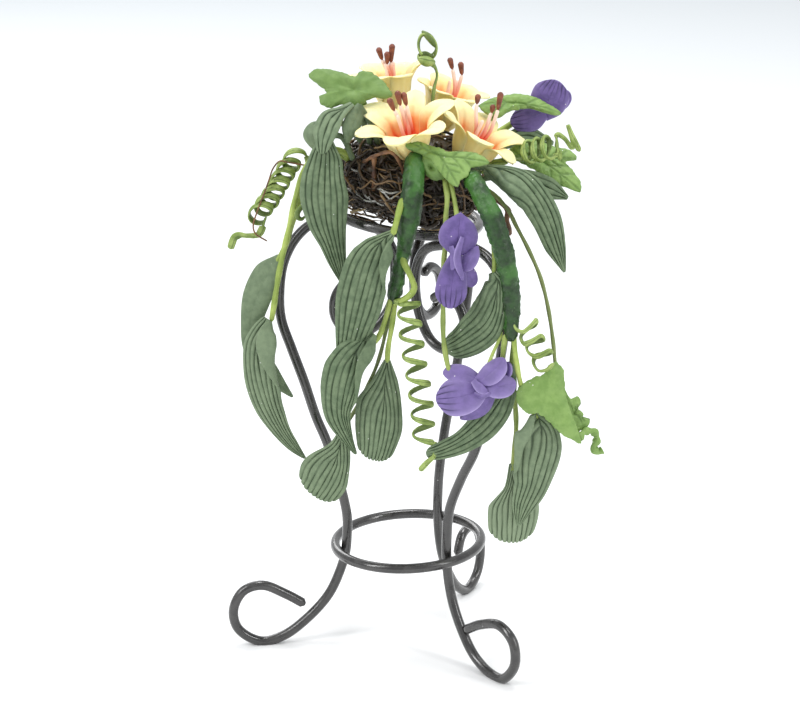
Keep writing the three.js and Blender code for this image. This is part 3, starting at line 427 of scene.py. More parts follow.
for name, radius, height, rise in RINGS:
    angles = np.linspace(0, 2 * math.pi, RING_POINTS, endpoint=False)
    tilt = math.atan(rise)
    across = radius * np.cos(angles)
    hoop = np.stack([across * math.cos(tilt), radius * np.sin(angles),
                     height + across * math.sin(tilt)], axis=1)
    ring = rods(f"wire_{name}", [hoop], WIRE_RADIUS, gloss_black, sides=WIRE_SIDES, closed=True,
                girths=[np.ones(RING_POINTS)])
    fasten(made_solid(ring), "wire", name)

for name, (foot_bearing, top_bearing), profile in LEGS:
    low, high = LEG_TURN_HEIGHTS
    bends = []
    for reach, height in profile:
        share = min(max((height - low) / (high - low), 0), 1)
        turned = share * share * (3 - 2 * share)
        bearing = math.radians(foot_bearing + (top_bearing - foot_bearing) * turned)
        bends.append((reach * math.cos(bearing), reach * math.sin(bearing), height))
    leg = made_solid(rods(f"wire_{name}", [even_line(bends, WIRE_STEP)], WIRE_RADIUS, gloss_black,
                          sides=WIRE_SIDES))
    for vertex in leg.data.vertices:  # the lowest bend is filed flat
        vertex.co.z = max(vertex.co.z, 0)
    fasten(leg, "wire", name)

# ---- Moss nest ----------------------------------------------------------------------------
# A pad of dark moss and dry root fibre is packed into the top ring and set with clear glue.
# Fibres lie every way on it, short broken bits stick to it and a few tan ones loop out.
NEST_CENTRE = np.array([0.9, -0.3, 68.0])
NEST_RADII = np.array([9.3, 9.2, 5.9])
NEST_TILT = math.atan(-0.14)
NEST_ROWS, NEST_COLUMNS = 60, 120
CORE_REACH = 0.91
CORE_LUMPS = 0.08
FIBRE_RADIUS = 0.12
FIBRE_POINTS = 12
FIBRE_LIFTS = (-1.05, 1.15)
# Per kind: how many, half length and climb in radians, how far out, thickness, darkest and palest.
FIBRE_KINDS = [(300, (0.12, 0.55), 0.16, (0.95, 1.07), (0.5, 1.3), (0.0, 0.75)),
               (230, (0.06, 0.30), 0.55, (0.97, 1.10), (0.5, 1.8), (0.0, 0.95)),
               (120, (0.03, 0.10), 0.30, (0.96, 1.06), (2.0, 3.6), (0.0, 0.40)),
               (26, (0.14, 0.40), 0.40, (1.08, 1.20), (0.8, 1.5), (0.60, 1.0))]
GLUE_STRANDS = 7
GLUE_RADIUS = 0.13
GLUE_BEARINGS = (3.5, 4.5)
GLUE_LIFTS = (-0.35, 0.3)


def on_nest(bearing, lift, reach):
    """Places on the nest's surface; reach 1 is the surface itself."""
    flat = np.stack([np.cos(bearing) * np.cos(lift), np.sin(bearing) * np.cos(lift)], axis=-1)
    full = np.maximum(np.abs(np.cos(lift)), 1e-3) ** -0.45
    x = flat[..., 0] * full * NEST_RADII[0] * reach
    y = flat[..., 1] * full * NEST_RADII[1] * reach
    z = np.sin(lift) * NEST_RADII[2] * reach
    return np.stack([x * math.cos(NEST_TILT) - z * math.sin(NEST_TILT), y,
                     x * math.sin(NEST_TILT) + z * math.cos(NEST_TILT)], axis=-1) + NEST_CENTRE


def mark_on(node, name):
    """A measure that the points of a mesh carry, read in a material."""
    return node("ShaderNodeAttribute", attribute_name=name).outputs["Fac"]


def ramp(node, value, stops):
    """Colours at marks along a value, blended from each to the next."""
    made = node("ShaderNodeValToRGB", {"Fac": value})
    for mark, colour in stops[1:-1]:
        made.color_ramp.elements.new(mark)
    for element, (mark, colour) in zip(made.color_ramp.elements, stops):
        element.position, element.color = mark, (*colour, 1)
    return made.outputs["Color"]


def quads(ids):
    """The faces of a grid of points, row by row."""
    return np.stack([ids[:-1, :-1], ids[:-1, 1:], ids[1:, 1:], ids[1:, :-1]], -1).reshape(-1, 4)


def modelled(name, points, faces, material):
    """A smooth piece from its points, in millimetres from the stand's axis, and its faces."""
    mesh = bpy.data.meshes.new(name)
    mesh.from_pydata(from_axis(points).tolist(), [], faces.tolist())
    mesh.shade_smooth()
    mesh.materials.append(material)
    return placed(name, mesh)


dark_moss, node, feed, dust = dusted("dark_moss", {"Roughness": 0.45}, 700.0, (2600.0, 0.020),
                                     (2500.0, 1.0))
feed("Base Color", tinted(node, dust, (0.008, 0.005, 0.003), (0.050, 0.031, 0.014)))
root_fibre, node, feed, dust = dusted("root_fibre", {"Roughness": 0.4}, 260.0, (2600.0, 0.012),
                                      (4000.0, 0.6))
feed("Base Color", ramp(node, mark_on(node, "shade"), [
    (0.0, (0.014, 0.009, 0.004)), (0.40, (0.042, 0.024, 0.010)), (0.68, (0.17, 0.098, 0.038)),
    (1.0, (0.46, 0.35, 0.18))]))
clear_glue = new_material("clear_glue", {
    "Base Color": (0.62, 0.62, 0.58, 1), "Roughness": 0.12, "Transmission Weight": 0.55,
    "Coat Weight": 0.6})[0]

lifts, bearings = np.meshgrid(np.linspace(-math.pi / 2, math.pi / 2, NEST_ROWS),
                              np.linspace(0, 2 * math.pi, NEST_COLUMNS, endpoint=False),
                              indexing="ij")
core = on_nest(bearings, lifts, CORE_REACH).reshape(-1, 3)
for i in range(len(core)):
    lump = noise.fractal(Vector(core[i]) * 0.4, 1.0, 2.0, 4) + 0.6 * noise.noise(Vector(core[i]) * 1.5)
    core[i] += (core[i] - NEST_CENTRE) * CORE_LUMPS * lump
ids = np.arange(NEST_ROWS * NEST_COLUMNS).reshape(NEST_ROWS, NEST_COLUMNS)
pad = modelled("moss_pad", core, quads(np.hstack([ids, ids[:, :1]])), dark_moss)
fasten(pad, "moss", "moss_nest")

draw = np.random.default_rng(7)
fibre_lines, fibre_girths, fibre_shades = [], [], []
for many, runs, climb, out, thick, shades in FIBRE_KINDS:
    for i in range(many):
        bearing = draw.uniform(0, 2 * math.pi)
        lift = draw.uniform(*FIBRE_LIFTS)
        run = draw.uniform(*runs)
        rise = draw.normal(0, climb) * (0.5 + run)
        share = np.linspace(-1, 1, FIBRE_POINTS)
        wander = np.cumsum(draw.normal(0, 0.022 + 0.05 * run, FIBRE_POINTS))
        reach = draw.uniform(*out) - 0.11 * share ** 2 + 0.012 * draw.normal(0, 1, FIBRE_POINTS)
        fibre_lines.append(on_nest(bearing + run * share, lift + rise * share + wander, reach))
        fibre_girths.append(draw.uniform(*thick) * (1 - 0.6 * share ** 4))
        shade = shades[0] + (shades[1] - shades[0]) * draw.beta(1.2, 1.9)
        fibre_shades.append(np.full(FIBRE_POINTS, shade))
fibres = rods("root_fibres", fibre_lines, FIBRE_RADIUS, root_fibre, sides=5, girths=fibre_girths)
note(fibres.data, "shade", np.concatenate(fibre_shades))
fasten(made_solid(fibres), "moss")

glue_lines = []
for i in range(GLUE_STRANDS):
    bearing, lift = draw.uniform(*GLUE_BEARINGS), draw.uniform(*GLUE_LIFTS)
    share = np.linspace(-1, 1, FIBRE_POINTS)
    droop = lift + 0.05 * draw.normal(0, 1, FIBRE_POINTS).cumsum() * 0.5
    glue_lines.append(on_nest(bearing + draw.uniform(0.1, 0.3) * share, droop, 1.06 - 0.05 * share ** 2))
fasten(made_solid(rods("glue_strands", glue_lines, GLUE_RADIUS, clear_glue, sides=8)), "moss")

# ---- Taped stems --------------------------------------------------------------------------
# Two bundles of stems come out of the front of the nest, wound in dark green crepe tape. Each
# place has the radius of the winding there; a side stem leaves the left one where it parts.
TAPE_WRAPS = [
    ("tape_wrap_left", [
        (1.5, -9.4, 73.0, 1.3), (1.3, -11.6, 72.0, 1.35), (1.0, -13.2, 69.7, 1.35),
        (0.6, -13.5, 66.4, 1.5), (0.1, -13.3, 63.0, 1.3), (-0.4, -13.1, 60.3, 1.0),
        (-0.8, -13.0, 58.7, 0.9), (-1.3, -12.9, 56.3, 1.0), (-1.7, -12.8, 53.9, 0.85)]),
    ("tape_wrap_right", [
        (8.6, -9.6, 71.0, 1.1), (9.0, -12.6, 70.3, 1.2), (9.9, -14.6, 68.9, 1.2),
        (11.0, -15.9, 66.9, 1.35), (12.2, -16.5, 63.7, 1.35), (13.1, -16.7, 60.4, 1.3),
        (13.6, -16.6, 57.3, 1.2), (13.9, -16.6, 54.7, 1.15), (13.9, -16.5, 52.1, 0.95),
        (13.7, -16.5, 49.5, 0.85)]),
]

TAPE_SIDES = 56
TAPE_STEP = 0.12

# Geometry nodes that give a rod the overlapping edges and creases of wound tape.
TAPE_TREE, node, sizes = new_tree("wound_tape", "GeometryNodeTree", [
    ("Geometry", "Geometry", None), ("Winding", "Float", 0.0042), ("Edge Height", "Float", 0.00014),
    ("Crease Height", "Float", 0.0006), ("Crease Scale", "Float", 1100.0),
    ("Material", "Material", None)], [("Geometry", "Geometry")])
turns = worked(node, "DIVIDE", stored(node, "along"), sizes["Winding"])
phase = worked(node, "FRACT", worked(node, "ADD", turns, stored(node, "around")))
edge = worked(node, "MULTIPLY", worked(node, "POWER", phase, 3.0), sizes["Edge Height"])
creases = node("ShaderNodeTexNoise", {"Detail": 5.0, "Roughness": 0.62, "Scale": sizes["Crease Scale"]})
crease = worked(node, "MULTIPLY", worked(node, "SUBTRACT", creases.outputs["Fac"], 0.5),
                sizes["Crease Height"])
out = node("ShaderNodeVectorMath", {"Vector": node("GeometryNodeInputNormal").outputs["Normal"],
                                    "Scale": worked(node, "ADD", edge, crease)}, operation="SCALE")
moved = node("GeometryNodeSetPosition", {"Geometry": sizes["Geometry"], "Offset": out.outputs["Vector"]})
end_tree(node, moved.outputs["Geometry"], sizes["Material"])

crepe_tape, node, feed, dust = dusted("green_crepe_tape", {"Roughness": 0.42}, 900.0,
                                      (3600.0, 0.07), (3500.0, 1.0))
# Lighter green patches at random over the tape are painted highlights.
painted_highlight_patches = node("ShaderNodeTexNoise", {"Vector": node("ShaderNodeTexCoord").outputs["Object"],
                                   "Scale": 240.0, "Detail": 5.0})
feed("Base Color", tinted(node, dust, (0.006, 0.026, 0.004), (0.018, 0.066, 0.011),
                          [(share_of(node, painted_highlight_patches.outputs["Fac"], 0.48, 0.60, 0.9), (0.042, 0.145, 0.020))],
                          speck=(0.130, 0.230, 0.080)))
for name, places in TAPE_WRAPS:
    line = even_line([place[:3] for place in places], TAPE_STEP)
    girth = smooth_line([(i, place[3], 0) for i, place in enumerate(places)], len(line))[:, 1]
    girth = girth * rounded_ends(line, places[0][3], 1.0)
    tape = rods(name.replace("wrap", "winding"), [line], 1.0, crepe_tape, sides=TAPE_SIDES,
                girths=[girth])
    fasten(made_solid(add_nodes(tape, TAPE_TREE, {"Material": crepe_tape})), "tape", name)

# ---- Stems --------------------------------------------------------------------------------
# Thin rolled clay stems hang from the nest and from the taped bundles, and each runs into the
# root of its leaf or flower. Each has its radius and how olive its clay is.
STEMS = [
    ("stems_left", [
        (0.40, 0.0, [(-7.4, -5.0, 71.8), (-8.6, -5.9, 73.0), (-10.4, -7.2, 73.4), (-12.8, -7.6, 71.7),
                     (-14.3, -7.4, 68.0), (-15.6, -7.0, 62.6), (-17.0, -6.7, 56.8),
                     (-17.9, -6.5, 51.8), (-18.3, -6.9, 49.6)]),
        (0.38, 0.1, [(-7.4, -4.6, 71.4), (-8.6, -5.2, 72.2), (-10.2, -6.4, 72.5), (-12.6, -6.8, 70.9),
                     (-13.8, -6.4, 67.5), (-15.1, -6.0, 63.3), (-16.2, -5.8, 59.9),
                     (-17.4, -5.6, 57.6)]),
    ]),
    ("stems_centre", [
        (0.36, 0.1, [(-2.0, -13.1, 54.6), (-2.8, -13.2, 51.6), (-3.7, -13.1, 49.2),
                     (-4.8, -13.5, 48.0)]),
        (0.27, 0.9, [(-1.8, -12.6, 54.6), (-2.7, -11.6, 49.7), (-4.0, -11.0, 44.6),
                     (-6.4, -10.6, 39.2), (-8.5, -10.4, 35.4), (-9.1, -10.6, 33.6)]),
        (0.36, 0.0, [(-1.3, -12.9, 54.8), (-1.9, -12.9, 50.8), (-2.5, -12.5, 47.1),
                     (-2.6, -12.4, 45.3)]),
    ]),
    ("stem_centre_upper", [
        (0.42, 0.0, [(-0.3, -14.0, 68.4), (-0.8, -14.7, 66.9), (-1.2, -15.0, 65.4),
                     (-1.7, -15.0, 63.7)]),
    ]),
    ("stems_front", [
        (0.34, 0.3, [(5.0, -8.4, 71.6), (5.2, -11.5, 70.3), (5.5, -13.5, 68.3), (5.3, -14.3, 65.9),
                     (5.3, -14.6, 62.9), (5.0, -14.7, 59.9), (4.9, -14.7, 54.7),
                     (4.9, -14.8, 49.5), (5.2, -16.2, 47.3), (5.6, -16.8, 45.4)]),
        (0.32, 0.2, [(5.5, -8.4, 71.5), (5.8, -11.0, 70.2), (6.1, -12.4, 69.3), (6.5, -13.6, 67.7),
                     (6.8, -15.2, 65.6)]),
    ]),
    ("stem_upper_right", [
        (0.33, 0.2, [(11.5, -15.8, 62.8), (11.6, -16.2, 60.8), (11.5, -16.3, 58.6)]),
    ]),
    ("stem_right_long", [
        (0.27, 0.75, [(8.6, -4.6, 68.8), (12.0, -8.2, 67.2), (13.7, -10.4, 65.6), (14.6, -11.2, 63.9),
                      (16.3, -12.2, 60.7), (17.8, -12.9, 57.2), (18.8, -13.4, 53.3),
                      (19.5, -13.8, 48.7), (19.8, -14.6, 45.5), (20.0, -15.3, 43.8)]),
    ]),
    ("stems_right", [
        (0.36, 0.2, [(13.1, -16.4, 50.4), (12.8, -16.0, 48.1), (12.8, -15.4, 46.2),
                     (13.3, -15.4, 44.6)]),
        (0.36, 0.0, [(14.1, -16.6, 50.6), (14.4, -16.8, 47.5), (15.0, -16.4, 43.9),
                     (16.0, -15.9, 40.7), (17.4, -15.9, 38.4)]),
        (0.34, 0.3, [(14.2, -16.0, 50.0), (14.0, -14.6, 44.5), (14.5, -13.4, 40.2),
                     (14.7, -13.0, 35.8), (14.4, -12.9, 32.1), (14.2, -13.0, 29.8)]),
    ]),
]
SIDE_STEMS = [
    (0.42, 0.0, [(-0.5, -13.4, 60.6), (-0.2, -14.0, 59.6), (0.3, -14.4, 58.6), (0.8, -14.6, 57.5),
                 (1.1, -14.7, 56.4), (0.6, -14.7, 55.5), (-0.4, -14.4, 54.7), (-1.5, -13.8, 54.2)]),
    (0.24, 0.1, [(12.6, -15.9, 50.6), (12.2, -16.0, 49.4), (11.5, -16.4, 48.0), (10.8, -17.0, 46.4),
                 (10.2, -17.3, 45.0)]),
]
STEM_STEP = 0.35
STEM_UNEVENNESS = 0.09
stem_green, node, feed, dust = dusted("stem_green_clay", {"Roughness": 0.5}, 300.0,
                                      (2600.0, 0.012), (4200.0, 0.5))
rolled = node("ShaderNodeCombineXYZ", {"X": worked(node, "MULTIPLY", mark_on(node, "along"), 140.0),
                                       "Y": worked(node, "MULTIPLY", mark_on(node, "around"), 5.0)})
streak = node("ShaderNodeTexNoise", {"Vector": rolled.outputs["Vector"], "Scale": 1.0})
feed("Base Color", tinted(node, dust, (0.235, 0.330, 0.052), (0.430, 0.530, 0.130),
                          [(share_of(node, streak.outputs["Fac"], 0.50, 0.72, 0.8), (0.165, 0.235, 0.045)),
                           (mark_on(node, "olive"), (0.130, 0.160, 0.062))]))


def stem_bundle(name, bundle):
    """One mesh of several rolled stems, with the tint of each."""
    lines, girths, tints = [], [], []
    for i, (radius, olive, places) in enumerate(bundle):
        line = even_line(places, STEM_STEP)
        uneven = 1 + STEM_UNEVENNESS * np.sin(0.5 * np.arange(len(line)) + 1.3 * i)
        lines.append(line)
        girths.append(radius * uneven * rounded_ends(line, radius))
        tints.append(np.full(len(line), olive))
    bunch = rods(f"{name}_rolled", lines, 1.0, stem_green, girths=girths)
    note(bunch.data, "olive", np.concatenate(tints))
    return made_solid(bunch)


for name, bundle in STEMS:
    fasten(stem_bundle(name, bundle), "stem", name)
fasten(stem_bundle("side_stems", SIDE_STEMS), "stem")

# ---- Grooved leaves -----------------------------------------------------------------------
# Long leaves pressed from grey-green clay, with grooves that fork from the midrib near the root.
# Undersides are smooth, and some leaves fold over. Widths go along the spine, from its root.
LEAF_THICKNESS = 0.56
RIB_WIDTH = 0.82
STALK_RADIUS = 0.4
STALK_STEP = 0.4
GROOVE_DEPTH = 0.2
RIDGE_DEPTH = 0.11
FOLD_LENGTH = 1.1
FOLDED_OVER, FOLDED_UNDER = 172, 80
LEAF_ARCH = (10, -44)
SPINE_POINTS = 240
FRONT = (0, -1, 0.15)
LEFT_FRONT = (-0.5, -0.85, 0.15)
RIGHT_FRONT = (0.5, -0.85, 0.15)


def between(values, marks):
    """A smooth line through evenly spaced numbers, read at marks from 0 to 1."""
    fine = smooth_line([(i, value, 0) for i, value in enumerate(values)], 400)
    return np.interp(marks, np.linspace(0, 1, 400), fine[:, 1])


def blade(spine, left, right, facing, arch=LEAF_ARCH, folded_left=(0, 0), folded_right=(0, 0),
          blunt=0.0, ribs=0, rows=80, half=60):
    """The middle surface of a leaf or petal as grids: its points, its outward directions, the
    share of the way along the spine and across each half, and how thick it is. Arch gives how
    far the halves turn to the front at the midrib and how far they bend on, in degrees. A folded
    part is a strip as wide as given, turned over to the front, or away where it is negative."""
    fine = np.linspace(0, 1, SPINE_POINTS)
    line = smooth_line(spine, SPINE_POINTS)
    tangent = unit(np.gradient(line, axis=0))
    first, last = unit(np.array(facing[0], float)), unit(np.array(facing[-1], float))
    normal = first * (1 - fine[:, None]) + last * fine[:, None]
    normal = unit(normal - tangent * (normal * tangent).sum(1)[:, None])
    across = np.cross(tangent, normal)
    shares = np.linspace(0, 1, half + 1)
    sides = []
    for side, widths, folds in ((-1, right, folded_right), (1, left, folded_left)):
        width = np.maximum(between(widths, fine), 0.04)[:, None]
        fold = between(folds, fine)[:, None]
        total = width + np.abs(fold)
        over = np.clip((shares * total - width) / FOLD_LENGTH + 0.5, 0, 1)
        turn = np.where(fold > 0, FOLDED_OVER, -FOLDED_UNDER) * np.clip(np.abs(fold) / 0.5, 0, 1)
        angle = np.radians(arch[0] + arch[1] * shares + turn * over * over * (3 - 2 * over))
        middle = (angle[:, 1:] + angle[:, :-1]) / 2
        start = np.zeros((len(fine), 1))
        out = np.hstack([start, np.cumsum(np.cos(middle), 1)]) * total / half
        up = np.hstack([start, np.cumsum(np.sin(middle), 1)]) * total / half
        aside, ahead = side * across[:, None], normal[:, None]
        sides.append((line[:, None] + aside * out[..., None] + ahead * up[..., None],
                      ahead * np.cos(angle)[..., None] - aside * np.sin(angle)[..., None]))
    points, outward = (np.concatenate([sides[0][k][:, :0:-1], sides[1][k]], 1) for k in (0, 1))
    steps = np.linspace(-1, 1, 2 * half + 1)
    end = 1 - blunt * (1 - np.sqrt(np.maximum(1 - np.abs(steps) ** 2.2, 0)))
    end -= 0.016 * (blunt > 0.1) * (1 - np.abs(np.sin(math.pi * steps * ribs))) ** 2
    marks = (1 - np.cos(np.linspace(0, math.pi, rows))) / 2
    along = marks[:, None] * end[None]
    row = np.minimum((along * (SPINE_POINTS - 1)).astype(int), SPINE_POINTS - 2)
    part = (along * (SPINE_POINTS - 1) - row)[..., None]
    column = np.arange(len(steps))[None]
    points, outward = (grid[row, column] * (1 - part) + grid[row + 1, column] * part
                       for grid in (points, outward))
    ease = (1 - 0.55 * np.abs(steps[None]) ** 10) * np.sqrt(
        1 - 0.8 * np.clip((marks[:, None] - 0.97) / 0.03, 0, 1) ** 2)
    return points, outward, along, np.repeat(steps[None], rows, 0), ease


def forked_grooves(along, across, ribs, fork, pointed):
    """How deep each place lies in the grooves, which the leaves also carry as painted shade, and how
    far it lies from the top of its rib. The grooves leave the midrib one after another until the
    share `fork` of the way."""
    share = np.clip(along / fork, 0, 1)
    place = (1 - np.abs(across)) / (1 + 1.3 * (1 - share) ** 1.5) * ribs
    place = place + 0.05 * np.sin(along * 17 + 2.1 * np.round(place)) * (np.abs(across) < 0.97)
    inner = (np.round(place) >= 1) * (np.clip((1 - along) / 0.08, 0, 1) if pointed else 1.0)
    groove_and_shade = np.exp(-((place - np.round(place)) / 0.11) ** 2) * inner
    groove_and_shade = groove_and_shade * (0.75 + 0.25 * np.sin(along * 11 + 3.7 * np.round(place)))
    midrib = np.exp(-(across * ribs / 0.15) ** 2) * np.clip((fork - along) / 0.05 + 0.5, 0, 1)
    ridge = (1 - np.abs(np.sin(math.pi * place))) * inner
    return np.maximum(groove_and_shade, midrib), ridge


def closed_blade(name, front, back, material, fields, slot, nodes):
    """A closed piece from a front and a back grid of points, with measures for its material."""
    rows, columns = front.shape[:2]
    drop = rows * columns
    ids = np.arange(drop).reshape(rows, columns)
    loop = np.concatenate([ids[0, :-1], ids[:-1, -1], ids[-1, :0:-1], ids[:0:-1, 0]])
    follow = np.roll(loop, -1)
    rim = np.stack([loop, loop + drop, follow + drop, follow], -1)
    faces = np.concatenate([quads(ids), quads(ids + drop)[:, [0, 3, 2, 1]], rim])
    points = np.concatenate([front.reshape(-1, 3), back.reshape(-1, 3)])
    piece = modelled(name, points, faces, material)
    for field, (upper, lower) in fields.items():
        note(piece.data, field, np.concatenate([np.ravel(upper), np.ravel(lower)]))
    return fasten(piece, slot, *nodes)


leaf_clay, node, feed, dust = dusted("grey_green_clay", {"Roughness": 0.62, "Specular IOR Level": 0.35},
                                     1000.0, (2400.0, 0.012), (5200.0, 0.35))
# The grooves of each front are darkened: painted shade in the hollows.
feed("Base Color", tinted(node, dust, (0.098, 0.147, 0.078), (0.158, 0.218, 0.122),
                          [(mark_on(node, "pale"), (0.270, 0.340, 0.220)),
                           (mark_on(node, "groove_and_shade"), (0.030, 0.053, 0.030))]))

